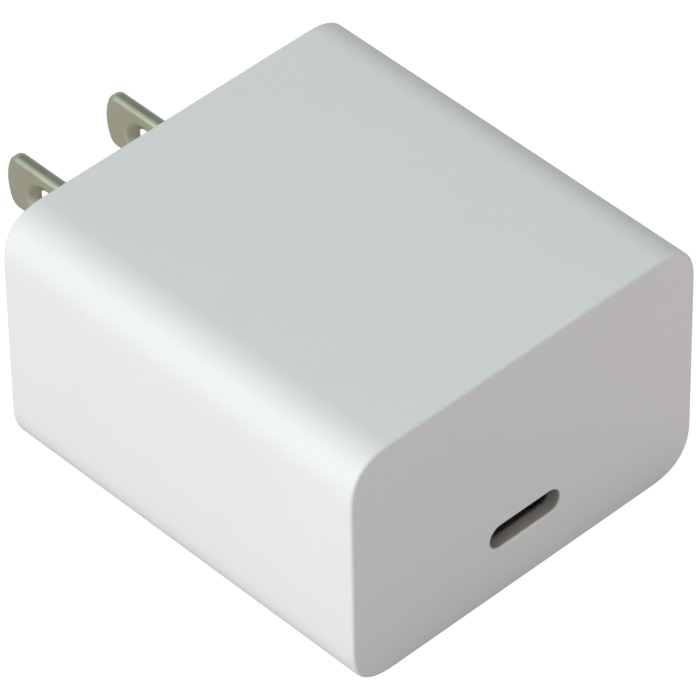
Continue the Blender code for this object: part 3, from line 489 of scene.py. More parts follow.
def finished(obj, slot, *nodes):
    """Hangs the piece on the root and hides the CAD nodes it stands for; the slot argument is not
    used.
    """
    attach(obj, "root")
    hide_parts(*nodes)


def baked(obj):
    """Turns the object's modifiers into its own plain mesh."""
    graph = bpy.context.evaluated_depsgraph_get()
    mesh = bpy.data.meshes.new_from_object(obj.evaluated_get(graph))
    mesh.name = obj.name
    obj.modifiers.clear()
    obj.data = mesh


def paint(obj, finish):
    obj.data.materials.clear()
    obj.data.materials.append(finish)


def face_outwards(mesh, merge=WELD / 2):
    data = bmesh.new()
    data.from_mesh(mesh)
    bmesh.ops.remove_doubles(data, verts=data.verts, dist=merge)
    bmesh.ops.recalc_face_normals(data, faces=data.faces)
    data.to_mesh(mesh)
    data.free()


def smooth(mesh, angle=40):
    mesh.shade_smooth()
    mesh.set_sharp_from_angle(angle=math.radians(angle))


def keep_flat(mesh, axis):
    """Leaves the faces square to an axis flat, so cuts in them throw no shading across them."""
    for face in mesh.polygons:
        if abs(face.normal["XYZ".index(axis)]) > 0.9999:
            face.use_smooth = False


# ---- Geometry Nodes: the rings that a moulded case is built from
def new_tree(name, sizes):
    """A tree with named float inputs and a material, its writer and its inputs as links."""
    tree = bpy.data.node_groups.new(name, "GeometryNodeTree")
    for label, value in sizes.items():
        socket = tree.interface.new_socket(label, in_out="INPUT", socket_type="NodeSocketFloat")
        socket.default_value = value
    tree.interface.new_socket("Material", in_out="INPUT", socket_type="NodeSocketMaterial")
    tree.interface.new_socket("Geometry", in_out="OUTPUT", socket_type="NodeSocketGeometry")
    writer = Writer(tree)
    return tree, writer, writer.inputs()


def end_tree(writer, geometry, material):
    """Makes instances real, paints the geometry and hands it out."""
    real = writer.add("GeometryNodeRealizeInstances", {}, {"Geometry": geometry})
    painted = writer.add("GeometryNodeSetMaterial", {}, {"Geometry": real, "Material": material})
    writer.node("NodeGroupOutput", {}, {"Geometry": painted})


def corner_ring_group():
    """One ring of a box with superellipse corners, at a depth and a height."""
    tree = bpy.data.node_groups.new("corner_ring", "GeometryNodeTree")
    for name in ("Width", "Height", "Reach", "Power", "Along", "Rise"):
        tree.interface.new_socket(name, in_out="INPUT", socket_type="NodeSocketFloat")
    tree.interface.new_socket("Position", in_out="OUTPUT", socket_type="NodeSocketVector")
    w = Writer(tree)
    size = w.inputs()

    def kept(name):
        return w.add("GeometryNodeInputNamedAttribute", {"data_type": "FLOAT"}, {"Name": name})

    turn = kept("turn")
    bend = 2.0 / size["Power"]
    across = turn.op("COSINE").op("ABSOLUTE") ** bend
    up = turn.op("SINE").op("ABSOLUTE") ** bend
    x = kept("side_x") * (size["Width"] * 0.5 - size["Reach"] * (1.0 - across))
    z = kept("side_z") * (size["Height"] * 0.5 - size["Reach"] * (1.0 - up)) + size["Rise"]
    place = w.add("ShaderNodeCombineXYZ", {}, {"X": x, "Y": size["Along"], "Z": z})
    w.node("NodeGroupOutput", {}, {"Position": place})
    return tree


class RingStack:
    """A skin grown ring by ring, by extruding the last ring's edges."""

    def __init__(self, writer, ring_group, corner_steps):
        self.w = writer
        self.group = ring_group
        each = corner_steps + 1
        circle = writer.add("GeometryNodeMeshCircle", {"fill_type": "NONE"},
                            {"Vertices": 4 * each})
        index = writer.add("GeometryNodeInputIndex")
        quarter = (index / each).op("FLOOR")
        step = index - quarter * each
        self.mesh = circle
        self.keep("turn", (quarter + step / corner_steps) * (math.pi / 2))
        self.keep("side_x", (quarter - 1.5).op("ABSOLUTE").op("GREATER_THAN", 1.0) * 2.0 - 1.0)
        self.keep("side_z", quarter.op("LESS_THAN", 1.5) * 2.0 - 1.0)
        self.top = None

    def keep(self, name, value):
        self.mesh = self.w.add("GeometryNodeStoreNamedAttribute", {"data_type": "FLOAT"}, {
            "Geometry": self.mesh, "Name": name, "Value": value})

    def ring(self, width, height, reach, power, along, rise):
        if self.top is not None:
            grown = self.w.node("GeometryNodeExtrudeMesh", {"mode": "EDGES"}, {
                "Mesh": self.mesh, "Selection": self.top, "Offset Scale": 0.0})
            self.mesh = Link(self.w, grown.outputs["Mesh"])
            self.top = Link(self.w, grown.outputs["Top"])
        place = self.w.node("GeometryNodeGroup", {"node_tree": self.group}, {
            "Width": width, "Height": height, "Reach": reach, "Power": power,
            "Along": along, "Rise": rise})
        moved = self.w.node("GeometryNodeSetPosition", {}, {
            "Geometry": self.mesh, "Position": Link(self.w, place.outputs[0])})
        if self.top is not None:
            self.w.feed(moved.inputs["Selection"], self.top)
        else:
            self.top = self.w.add("FunctionNodeInputBool", {"boolean": True})
        self.mesh = Link(self.w, moved.outputs[0])

    def outline(self, size, inset, along):
        """The case's outline, drawn in by an inset."""
        self.ring(size["Width"] - 2.0 * inset, size["Height"] - 2.0 * inset,
                  size["Corner Reach"] - inset, size["Corner Power"], along,
                  size["Height"] * 0.5)

    def finish(self, material):
        welded = self.w.add("GeometryNodeMergeByDistance", {}, {
            "Geometry": self.mesh, "Distance": WELD})
        end_tree(self.w, welded, material)


def quarter_round(steps):
    """The steps of a quarter circle, as pairs of shares of its radius: in from its side, then
    down from its top."""
    angles = [math.pi / 2 * step / steps for step in range(steps + 1)]
    return [(1 - math.cos(angle), 1 - math.sin(angle)) for angle in angles]


def grown_piece(name, tree, values):
    """An object whose mesh a Geometry Nodes tree makes."""
    made = mesh_object(name, bpy.data.meshes.new(name))
    modifier = made.modifiers.new("grown", "NODES")
    modifier.node_group = tree
    for item in tree.interface.items_tree:
        if item.in_out == "INPUT" and item.name in values:
            modifier[item.identifier] = values[item.name]
    baked(made)
    return made


def housing_tree(ring_group):
    """The housing's whole skin: slot, front, sides, rim, cap seat and hollow, as one ring stack."""
    tree, w, size = new_tree("housing_skin", {
        "Width": WIDTH, "Height": HEIGHT, "Front": FRONT_Y, "Back": BACK_Y,
        "Corner Reach": CORNER_REACH, "Corner Power": CORNER_POWER, "Edge Fillet": EDGE_FILLET,
        "Wall": WALL, "Front Wall": FRONT_WALL, "Cap Rim": CAP_RIM, "Cap Seat": CAP_SEAT,
        "Slot Width": SLOT_WIDTH, "Slot Height": SLOT_HEIGHT, "Slot Lip": SLOT_LIP,
        "Slot Rise": SOCKET_Z, "Pocket Depth": SHELL_POCKET,
        "Pocket Flare": POCKET_FLARE})
    stack = RingStack(w, ring_group, CORNER_STEPS)
    front = size["Front"]
    back = size["Back"]
    fillet = size["Edge Fillet"]
    lip = size["Slot Lip"]

    def body(inset, along):
        stack.outline(size, inset, along)

    def slot(flare, along):
        height = size["Slot Height"] + 2.0 * flare
        stack.ring(size["Slot Width"] + 2.0 * flare, height, height * 0.499, 2.0, along,
                   size["Slot Rise"])

    inside = front + size["Front Wall"]
    seat = back - size["Cap Seat"]
    rounding = quarter_round(7)
    pocket = inside - size["Pocket Depth"]
    slot(size["Pocket Flare"], inside)
    slot(size["Pocket Flare"], pocket)
    slot(lip * 0.0, pocket)
    slot(lip * 0.0, front + lip + HOLD)
    for inward, down in rounding:
        slot(lip * inward, front + lip * down)
    slot(lip + HOLD, front)
    body(fillet + HOLD, front)
    for inward, down in rounding:
        body(fillet * down, front + fillet * inward)
    body(fillet * 0.0, front + fillet + HOLD)
    body(fillet * 0.0, back - fillet - HOLD)
    for inward, down in rounding:
        body(fillet * inward, back - fillet * down)
    body(fillet + HOLD, back)
    body(size["Cap Rim"] - HOLD, back)
    body(size["Cap Rim"], back - HOLD)
    body(size["Cap Rim"], seat)
    body(size["Wall"], seat)
    body(size["Wall"], inside)
    slot(size["Pocket Flare"], inside)
    stack.finish(size["Material"])
    return tree


def build_housing(ring_group, finish):
    housing = grown_piece("housing_skin", housing_tree(ring_group), {"Material": finish})
    face_outwards(housing.data)
    smooth(housing.data, 50)
    finished(housing, "housing", "housing")


def cap_tree(ring_group):
    """The cap closing the back: a plate whose outer edge is rounded, grown from its middle."""
    tree, w, size = new_tree("cap_plate", {
        "Width": WIDTH, "Height": HEIGHT, "Inside": CAP_INSIDE_Y, "Back": BACK_Y,
        "Inset": CAP_RIM + FIT_GAP, "Corner Reach": CORNER_REACH,
        "Corner Power": CORNER_POWER, "Edge Fillet": EDGE_FILLET / 2})
    stack = RingStack(w, ring_group, CORNER_STEPS)

    def plate(inset, along):
        stack.outline(size, size["Inset"] + inset, along)

    def middle(along):
        nothing = size["Inset"] * 0.0
        stack.ring(nothing, nothing, nothing, size["Corner Power"], along,
                   size["Height"] * 0.5)

    fillet = size["Edge Fillet"]
    back = size["Back"]
    middle(size["Inside"])
    plate(fillet * 0.0, size["Inside"])
    plate(fillet * 0.0, back - fillet - HOLD)
    for inward, down in quarter_round(5):
        plate(fillet * inward, back - fillet * down)
    plate(fillet + HOLD, back)
    middle(back)
    stack.finish(size["Material"])
    return tree


def loft(name, rings):
    """A closed solid through a row of outlines that have the same number of points."""
    data = bmesh.new()
    loops = [[data.verts.new(point) for point in ring] for ring in rings]
    for low, high in zip(loops, loops[1:]):
        for index in range(len(low)):
            following = (index + 1) % len(low)
            data.faces.new((low[index], low[following], high[following], high[index]))
    data.faces.new(loops[0])
    data.faces.new(loops[-1])
    bmesh.ops.recalc_face_normals(data, faces=data.faces)
    mesh = bpy.data.meshes.new(name)
    data.to_mesh(mesh)
    data.free()
    return mesh_object(name, mesh)


def soft_rectangle(width, height, corner, place, steps=5):
    """Points around a rectangle with round corners, put in space as circle_points does."""
    points = []
    for quarter, (side_a, side_b) in enumerate(((1, 1), (-1, 1), (-1, -1), (1, -1))):
        for step in range(steps + 1):
            angle = math.pi / 2 * (quarter + step / steps)
            points.append(place(side_a * (width / 2 - corner) + corner * math.cos(angle),
                                side_b * (height / 2 - corner) + corner * math.sin(angle)))
    return points


def circle_points(radius, count, place):
    """Points around a circle, each put in space by a function of its two coordinates."""
    angles = [2 * math.pi * turn / count for turn in range(count)]
    return [place(radius * math.cos(angle), radius * math.sin(angle)) for angle in angles]


def cut_from(target, cutter):
    """Takes the cutter's volume out of the target's mesh."""
    change = target.modifiers.new("cut", "BOOLEAN")
    change.object = cutter
    change.operation = "DIFFERENCE"
    change.solver = "EXACT"
    baked(target)
    bpy.data.objects.remove(cutter, do_unlink=True)


def joined(name, parts):
    """Several objects' meshes in one new object."""
    data = bmesh.new()
    for part in parts:
        data.from_mesh(part.data)
        bpy.data.objects.remove(part, do_unlink=True)
    mesh = bpy.data.meshes.new(name)
    data.to_mesh(mesh)
    data.free()
    return mesh_object(name, mesh)


def build_cap(ring_group, finish):
    cap = grown_piece("cap_plate", cap_tree(ring_group), {"Material": finish})
    face_outwards(cap.data)
    opening_width = BLADE_THICKNESS + 2 * FIT_GAP
    opening_height = BLADE_WIDTH + 2 * FIT_GAP
    lip = OPENING_LIP
    for side in (-1, 1):
        rings = []
        for flare, y in ((lip, BACK_Y + 0.5 * MM), (lip, BACK_Y), (lip * 0.3, BACK_Y - lip * 0.3),
                         (0.0, BACK_Y - lip), (0.0, CAP_INSIDE_Y - 0.5 * MM)):
            rings.append(soft_rectangle(
                opening_width + 2 * flare, opening_height + 2 * flare, OPENING_CORNER + flare,
                lambda a, b: (side * BLADE_X + a, y, BLADE_Z + b)))
        cut_from(cap, loft(f"opening_{side}", rings))
    pegs = [cap]
    for side in (-1, 1):
        rings = []
        for radius, y in ((PEG_RADIUS, CAP_INSIDE_Y + 0.1 * MM), (PEG_RADIUS, CAP_LOW.y + 0.3 * MM),
                          (PEG_RADIUS - 0.1 * MM, CAP_LOW.y + 0.1 * MM),
                          (PEG_RADIUS - 0.3 * MM, CAP_LOW.y)):
            rings.append(circle_points(radius, 28, lambda a, b: (
                a, y, BLADE_Z + side * PEG_OFFSET + b)))
        pegs.append(loft(f"peg_{side}", rings))
    whole = joined("back_cap_plate", pegs)
    paint(whole, finish)
    smooth(whole.data, 35)
    keep_flat(whole.data, "Y")
    finished(whole, "back_cap", "back_cap")


# ---- USB-C tongue
def contact_tree():
    """A row of gold contacts: one softened strip repeated across the tongue."""
    tree, w, size = new_tree("contact_row", {
        "Pitch": 0.5 * MM, "Strip Width": 0.28 * MM, "Strip Length": 3.4 * MM,
        "Strip Height": 0.04 * MM, "Count": 12, "Front": 0.0, "Rise": 0.0})
    outline = w.add("GeometryNodeCurvePrimitiveQuadrilateral", {"mode": "RECTANGLE"}, {
        "Width": size["Strip Width"], "Height": size["Strip Length"]})
    soft = w.add("GeometryNodeFilletCurve", {"mode": "POLY"}, {
        "Curve": outline, "Count": 3, "Radius": size["Strip Width"] * 0.45,
        "Limit Radius": True})
    face = w.add("GeometryNodeFillCurve", {"mode": "NGONS"}, {"Curve": soft})
    grown = w.node("GeometryNodeExtrudeMesh", {"mode": "FACES"}, {
        "Mesh": face, "Offset Scale": size["Strip Height"], "Individual": False})
    both = w.node("GeometryNodeJoinGeometry")
    w.tree.links.new(grown.outputs["Mesh"], both.inputs[0])
    base = w.add("GeometryNodeFlipFaces", {}, {"Mesh": face})
    w.tree.links.new(base.socket, both.inputs[0])
    strip = w.add("GeometryNodeMergeByDistance", {}, {
        "Geometry": Link(w, both.outputs[0]), "Distance": WELD / 10})
    start = w.add("ShaderNodeCombineXYZ", {}, {
        "X": size["Pitch"] * (size["Count"] - 1.0) * -0.5,
        "Y": size["Front"] + size["Strip Length"] * 0.5, "Z": size["Rise"]})
    step = w.add("ShaderNodeCombineXYZ", {}, {"X": size["Pitch"]})
    row = w.add("GeometryNodeMeshLine", {}, {
        "Count": size["Count"], "Start Location": start, "Offset": step})
    strips = w.add("GeometryNodeInstanceOnPoints", {}, {"Points": row, "Instance": strip})
    end_tree(w, strips, size["Material"])
    return tree


def build_tongue(black, gold, steel):
    """The socket's tongue with its softened nose, stiffening plate and two rows of contacts."""
    half = TONGUE_THICKNESS / 2
    nose = [(0.0, 0.18 * MM), (0.06 * MM, 0.08 * MM), (0.18 * MM, 0.0)]
    back = TONGUE_HIGH.y - TONGUE_BLOCK / 2
    rings = []
    for inset, along in [(low, high) for high, low in nose] + [(0.0, back - TONGUE_LOW.y)]:
        rings.append(soft_rectangle(TONGUE_WIDTH - 2 * inset, 2 * (half - inset), 0.1 * MM,
                                    lambda a, b: (a, TONGUE_LOW.y + along, SOCKET_Z + b)))
    blade = loft("tongue_blade", rings)
    stem_high = (TONGUE_HIGH.z - TONGUE_LOW.z) / 2
    stem_wide = (TONGUE_HIGH.x - TONGUE_LOW.x) / 2
    rings = []
    for inset, y in ((0.12 * MM, TONGUE_HIGH.y - TONGUE_BLOCK),
                     (0.0, TONGUE_HIGH.y - TONGUE_BLOCK + 0.12 * MM), (0.0, TONGUE_HIGH.y)):
        rings.append(soft_rectangle(2 * (stem_wide - inset), 2 * (stem_high - inset),
                                    stem_high - inset - 0.01 * MM,
                                    lambda a, b: (a, y, SOCKET_Z + b), 9))
    tongue = joined("tongue_moulding", [blade, loft("tongue_stem", rings)])
    paint(tongue, black)
    smooth(tongue.data, 35)
    finished(tongue, "usb_c_tongue", "usb_c_tongue")

    plates = []
    for side in (-1, 1):
        rings = []
        edge = side * (TONGUE_WIDTH / 2 + 0.01 * MM)
        for inset, y in ((0.1 * MM, TONGUE_LOW.y + 0.9 * MM), (0.0, TONGUE_LOW.y + 1.1 * MM),
                         (0.0, TONGUE_LOW.y + 3.6 * MM), (0.1 * MM, TONGUE_LOW.y + 3.8 * MM)):
            rings.append(soft_rectangle(LATCH_WIDTH - inset, LATCH_HEIGHT, 0.02 * MM,
                                        lambda a, b: (edge + a, y, SOCKET_Z + b), 2))
        plates.append(loft(f"latch_{side}", rings))
    latch = joined("tongue_latch_edges", plates)
    paint(latch, steel)
    finished(latch, "usb_c_tongue", "usb_c_tongue")

    for name, side in (("upper_contacts", 1), ("lower_contacts", -1)):
        row = grown_piece(name, contact_tree(), {
            "Material": gold, "Front": TONGUE_LOW.y + CONTACT_SETBACK,
            "Rise": SOCKET_Z + side * half - CONTACT_SINK})
        face_outwards(row.data, WELD / 10)
        finished(row, "usb_c_tongue", "usb_c_tongue")


# ---- Windings
def coil_tree():
    """Turns of round wire: a soft rectangle of tube, repeated along a line or around an arc."""
    tree, w, size = new_tree("coil_turns", {
        "Loop Width": 10 * MM, "Loop Depth": 10 * MM, "Loop Corner": 1 * MM,
        "Wire Radius": 0.1 * MM, "Turns": 10, "Centre X": 0.0, "Centre Y": 0.0,
        "Centre Z": 0.0, "Climb": 0.0, "Arc Radius": 0.0, "Arc Start": 0.0, "Arc Step": 0.0})
    outline = w.add("GeometryNodeCurvePrimitiveQuadrilateral", {"mode": "RECTANGLE"}, {
        "Width": size["Loop Width"], "Height": size["Loop Depth"]})
    soft = w.add("GeometryNodeFilletCurve", {"mode": "POLY"}, {
        "Curve": outline, "Count": 4, "Radius": size["Loop Corner"], "Limit Radius": True})
    wire = w.add("GeometryNodeCurvePrimitiveCircle", {"mode": "RADIUS"}, {
        "Resolution": 8, "Radius": size["Wire Radius"]})
    bent = w.add("GeometryNodeCurveToMesh", {}, {"Curve": soft, "Profile Curve": wire})
    turn = w.add("GeometryNodeSetShadeSmooth", {}, {"Geometry": bent})
    points = w.add("GeometryNodeMeshLine", {}, {"Count": size["Turns"]})
    index = w.add("GeometryNodeInputIndex")
    angle = size["Arc Start"] + index * size["Arc Step"]
    place = w.add("ShaderNodeCombineXYZ", {}, {
        "X": size["Centre X"],
        "Y": size["Centre Y"] + size["Arc Radius"] * angle.op("COSINE"),
        "Z": size["Centre Z"] + size["Arc Radius"] * angle.op("SINE") + index * size["Climb"]})
    placed = w.add("GeometryNodeSetPosition", {}, {"Geometry": points, "Position": place})
    tilt = w.add("ShaderNodeCombineXYZ", {}, {"X": angle})
    turned = w.add("FunctionNodeEulerToRotation", {}, {0: tilt})
    turns = w.add("GeometryNodeInstanceOnPoints", {}, {
        "Points": placed, "Instance": turn, "Rotation": turned})
    end_tree(w, turns, size["Material"])
    return tree


def build_windings(copper):
    low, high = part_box("transformer_winding")
    wire = TRANSFORMER_WIRE_RADIUS
    turns = int((high.z - low.z) / (2 * wire))
    middle = (low + high) / 2
    coil = grown_piece("transformer_turns", coil_tree(), {
        "Material": copper, "Loop Width": high.x - low.x - 2 * wire,
        "Loop Depth": high.y - low.y - 2 * wire, "Loop Corner": TRANSFORMER_LOOP_CORNER,
        "Wire Radius": wire,
        "Turns": turns, "Centre X": middle.x, "Centre Y": middle.y, "Centre Z": low.z + wire,
        "Climb": (high.z - low.z - 2 * wire) / (turns - 1)})
    finished(coil, "transformer_winding", "transformer_winding")
    low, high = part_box("choke_core")
    centre = (low + high) / 2
    inner = CHOKE_INNER_RADIUS
    outer = (high.z - low.z) / 2
    for name, start in (("choke_winding_front", math.pi), ("choke_winding_rear", 0.0)):
        coil = grown_piece(name + "_turns", coil_tree(), {
            "Material": copper, "Loop Width": high.x - low.x + 2 * CHOKE_WIRE_OFFSET,
            "Loop Depth": outer - inner + 2 * CHOKE_WIRE_OFFSET,
            "Loop Corner": CHOKE_LOOP_CORNER, "Wire Radius": CHOKE_WIRE_RADIUS,
            "Turns": CHOKE_TURNS, "Centre X": centre.x, "Centre Y": centre.y,
            "Centre Z": centre.z, "Arc Radius": (outer + inner) / 2,
            "Arc Start": start - CHOKE_SWEEP / 2, "Arc Step": CHOKE_SWEEP / (CHOKE_TURNS - 1)})
        finished(coil, name, name)


# ---- Capacitor cans
def can_tree(ring_group):
    """A round can from its seat up: rolled groove, shoulder and sunk end."""
    tree, w, size = new_tree("capacitor_can", {
        "Diameter": 10 * MM, "Height": 16 * MM, "Shoulder": 0.6 * MM,
        "Groove Depth": 0.35 * MM, "Groove Rise": 1.6 * MM, "Sink": 0.15 * MM})
    stack = RingStack(w, ring_group, 10)

    def level(radius, rise):
        stack.ring(radius * 2.0, radius * 2.0, radius, 2.0, rise, radius * 0.0)

    radius = size["Diameter"] * 0.5
    shoulder = size["Shoulder"]
    height = size["Height"]
    level(radius * 0.0, height * 0.0)
    level(radius - shoulder * 0.5, height * 0.0)
    level(radius - shoulder * 0.15, shoulder * 0.15)
    level(radius, shoulder * 0.5)
    for step in range(9):
        share = step / 8
        level(radius - size["Groove Depth"] * math.sin(math.pi * share) ** 2,
              size["Groove Rise"] + shoulder * (share - 0.5) * 2.0)
    for inward, down in quarter_round(5):
        level(radius - shoulder * inward, height - shoulder * down)
    level(radius - shoulder * 1.2, height)
    level(radius - shoulder * 1.35, height - size["Sink"])
    level(radius * 0.0, height - size["Sink"])
    stack.finish(size["Material"])
    return tree


def build_can(ring_group, node, finish, lead_pitch):
    low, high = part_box(node)
    seat = BOARD_TOP_Z + FIT_GAP
    can = grown_piece(node + "_can", can_tree(ring_group), {
        "Material": finish, "Diameter": high.x - low.x, "Height": high.z - seat})
    middle = (low + high) / 2
    stand = Matrix(((1, 0, 0), (0, 0, 1), (0, 1, 0)))
    can.data.transform(Matrix.Translation((middle.x, middle.y, seat)) @ stand.to_4x4())
    parts = [can]
    for side in (-1, 1):
        y = middle.y + side * lead_pitch / 2
        rings = [circle_points(radius, 12, lambda a, b: (middle.x + a, y + b, z))
                 for radius, z in ((LEAD_RADIUS * 0.7, low.z), (LEAD_RADIUS, low.z + 0.1 * MM),
                                   (LEAD_RADIUS, seat + 0.2 * MM))]
        parts.append(loft(node + f"_lead_{side}", rings))
    whole = joined(node + "_standing", parts)
    face_outwards(whole.data)
    reach = (high.x - low.x) * VENT_REACH
    for cosine, sine in ((1, 0), (0, 1)):
        rings = []
        for inset, z in ((0.0, high.z + 0.2 * MM), (VENT_GROOVE / 2, high.z - 0.27 * MM)):
            rings.append(soft_rectangle(
                2 * (reach - inset), VENT_GROOVE - inset, 0.02 * MM,
                lambda a, b: (middle.x + a * cosine - b * sine,
                              middle.y + a * sine + b * cosine, z), 2))
        cut_from(whole, loft(node + "_vent", rings))
    paint(whole, finish)
    smooth(whole.data, 35)
    keep_flat(whole.data, "Z")
    finished(whole, node, node)


# ---- Plug blades
def blade_outline(steps):
    """One blade's visible length from the side, as (y, z) from its middle."""
    half = BLADE_WIDTH / 2
    nose_y = BLADE_TIP_Y - BLADE_NOSE_RADIUS
    inner = BLADE_NOSE_RADIUS - BLADE_CORNER_RADIUS
    corner_z = half - BLADE_CORNER_RADIUS
    corner_y = nose_y + math.sqrt(inner ** 2 - corner_z ** 2)
    meet = math.atan2(corner_z, corner_y - nose_y)
    upper = [(CAP_LOW.y, half)]
    for step in range(steps + 1):
        angle = math.pi / 2 + (meet - math.pi / 2) * step / steps
        upper.append((corner_y + BLADE_CORNER_RADIUS * math.cos(angle),
                      corner_z + BLADE_CORNER_RADIUS * math.sin(angle)))
    for step in range(1, steps):
        angle = meet * (1 - step / steps)
        upper.append((nose_y + BLADE_NOSE_RADIUS * math.cos(angle),
                      BLADE_NOSE_RADIUS * math.sin(angle)))
    tip = [(nose_y + BLADE_NOSE_RADIUS, 0.0)]
    return [(y, -z) for y, z in upper] + tip + upper[::-1]


def build_blade(name, side, finish):
    half = BLADE_THICKNESS / 2
    middle = side * BLADE_X
    outline = blade_outline(10)
    blade = loft(name + "_plated", [[(middle + x, y, z) for y, z in outline]
                                    for x in (-half, half)])
    blade.data.transform(Matrix.Translation((0, 0, BLADE_Z)))
    rounding = blade.modifiers.new("edge_rounding", "BEVEL")
    rounding.width = BLADE_EDGE_FILLET
    rounding.segments = 4
    rounding.limit_method = "ANGLE"
    rounding.angle_limit = math.radians(60)
    baked(blade)
    clear = 0.1 * MM
    profile = []
    for step in range(DIMPLE_STEPS + 1):
        share = step / DIMPLE_STEPS
        profile.append((half + clear - (BLADE_DIMPLE_DEPTH + clear) * share,
                        BLADE_HOLE_RADIUS + (BLADE_DIMPLE_RADIUS - BLADE_HOLE_RADIUS)
                        * (1 - share) ** 1.15))
    stations = [(-x, radius) for x, radius in profile] + profile[::-1]
    rings = [circle_points(radius, 48, lambda a, b: (middle + x, HOLE_Y + a, HOLE_Z + b))
             for x, radius in stations]
    cut_from(blade, loft(name + "_dimple", rings))
    paint(blade, finish)
    smooth(blade.data, 26)
    keep_flat(blade.data, "X")
    finished(blade, name, name)


# ---------------------------------------------------------------- stage
def build_floor():
    data = bmesh.new()
    bmesh.ops.create_grid(data, x_segments=2, y_segments=2, size=4.0)
    mesh = bpy.data.meshes.new("studio_floor")
    data.to_mesh(mesh)
    data.free()
    floor = mesh_object("studio_floor", mesh)
    floor.location = (0, 0, HOUSING_LOW.z - 0.0001)
    made = bpy.data.materials.new("floor_white")
    made.use_nodes = True
    w = Writer(made.node_tree)
    shader = made.node_tree.nodes["Principled BSDF"]
    shader.inputs["Base Color"].default_value = (0.30, 0.30, 0.30, 1.0)
    shader.inputs["Roughness"].default_value = 0.9
    shader.inputs["Specular IOR Level"].default_value = 0.0
    where = w.add("ShaderNodeTexCoord", output=3)
    nothing = (0.0, 0.0, 0.0)
    # painted light: the floor glows for every ray but the camera's, with a painted contact shadow
    # round the adapter and a brighter glow towards the right
    from_middle = w.vector("SUBTRACT", where, (MIDDLE.x - SHADE_SHIFT, MIDDLE.y, 0.0))
    mirrored = w.vector("ABSOLUTE", from_middle, nothing)
    beyond = w.vector("SUBTRACT", mirrored, (WIDTH / 2, DEPTH / 2, 0.0))
    outside = w.vector("MAXIMUM", beyond, nothing)
    away = w.vector("DISTANCE", outside, nothing)
    open_floor = mix_colours(w, fade(w, w.split(where)[0], -20 * MM, 50 * MM),
                             OPEN_FLOOR, RIGHT_FLOOR)
    glow = mix_colours(w, fade(w, away, 0.0, CONTACT_SHADE), SHADED_FLOOR, open_floor)
    seen = w.add("ShaderNodeLightPath", output=0)
    w.feed(shader.inputs["Emission Color"], mix_colours(w, seen, glow, SEEN_FLOOR))
    shader.inputs["Emission Strength"].default_value = 1.0
    mesh.materials.append(made)


def build_world():
    world = bpy.data.worlds.new("studio")
    bpy.context.scene.world = world
    world.use_nodes = True
    w = Writer(world.node_tree)
    background = world.node_tree.nodes["Background"]
    where = w.add("ShaderNodeTexCoord", output=0)
    tint = mix_colours(w, w.split(where)[2].op("MAXIMUM", 0.0), SKY_EDGE, SKY_TOP)
    facing = w.vector("DOT_PRODUCT", where, UNLIT_CORNER)
    unlit = facing.op("MAXIMUM", 0.0) ** UNLIT_FOCUS
    w.feed(background.inputs["Color"], mix_colours(w, unlit, tint, UNLIT_COLOUR))
    background.inputs["Strength"].default_value = SKY_GLOW


def build_key_light():
    """A large soft box to the left of the adapter, a little above it."""
    light = bpy.data.lights.new("soft_box", "AREA")
    light.shape = "RECTANGLE"
    light.size = KEY_WIDTH
    light.size_y = KEY_HEIGHT
    light.color = KEY_COLOUR
    light.energy = KEY_ENERGY
    holder = bpy.data.objects.new("soft_box", light)
    bpy.context.scene.collection.objects.link(holder)
    back = Vector((-math.cos(KEY_ELEVATION), -KEY_ASIDE, math.sin(KEY_ELEVATION)))
    holder.location = MIDDLE + back * KEY_DISTANCE
    holder.rotation_mode = "QUATERNION"
    holder.rotation_quaternion = back.to_track_quat("Z", "Y")


def build_camera():
    """A long lens from above the front left corner, very slightly rolled."""
    level = math.cos(CAMERA_ELEVATION)
    back = Vector((math.sin(CAMERA_AZIMUTH) * level, -math.cos(CAMERA_AZIMUTH) * level,
                   math.sin(CAMERA_ELEVATION)))
    right = Vector((math.cos(CAMERA_AZIMUTH), math.sin(CAMERA_AZIMUTH), 0.0))
    up = back.cross(right)
    rolled_right = right * math.cos(CAMERA_ROLL) + up * math.sin(CAMERA_ROLL)
    rolled_up = up * math.cos(CAMERA_ROLL) - right * math.sin(CAMERA_ROLL)
    data = bpy.data.cameras.new("camera")
    data.sensor_width = CAMERA_SENSOR
    data.lens = CAMERA_LENS
    data.clip_start = 0.01
    data.clip_end = 20.0
    camera = bpy.data.objects.new("camera", data)
    bpy.context.scene.collection.objects.link(camera)
    place = (MIDDLE + back * CAMERA_DISTANCE - rolled_right * CAMERA_ASIDE
             - rolled_up * CAMERA_RISE)
    axes = Matrix((rolled_right, rolled_up, back)).transposed()
    camera.matrix_world = Matrix.Translation(place) @ axes.to_4x4()
    bpy.context.scene.camera = camera


# ---------------------------------------------------------------- everything
build_camera()
build_world()
build_floor()
build_key_light()
bpy.context.scene.view_settings.view_transform = "Standard"

white = moulded_white()
nickel = nickel_plate()
steel = worked_metal("drawn_steel", (0.50, 0.49, 0.47), (0.66, 0.65, 0.63), 0.26, "Y")
gold = worked_metal("contact_gold", (0.80, 0.55, 0.20), (0.92, 0.68, 0.30), 0.20, "Y")
bronze = worked_metal("rolled_bronze", (0.62, 0.36, 0.18), (0.78, 0.50, 0.28), 0.30, "Z")
aluminium = worked_metal("rolled_aluminium", (0.62, 0.63, 0.64), (0.76, 0.77, 0.78), 0.34, "Y")
bare_can = worked_metal("bare_can", (0.60, 0.60, 0.60), (0.72, 0.72, 0.72), 0.28, "Z")
socket_black = plain_moulding("socket_black", (0.012, 0.012, 0.013), (0.02, 0.02, 0.021), 0.4)
package_black = plain_moulding("package_black", (0.016, 0.016, 0.017), (0.028, 0.028, 0.029),
                               0.46, 7000.0, 0.00002)
rings = corner_ring_group()

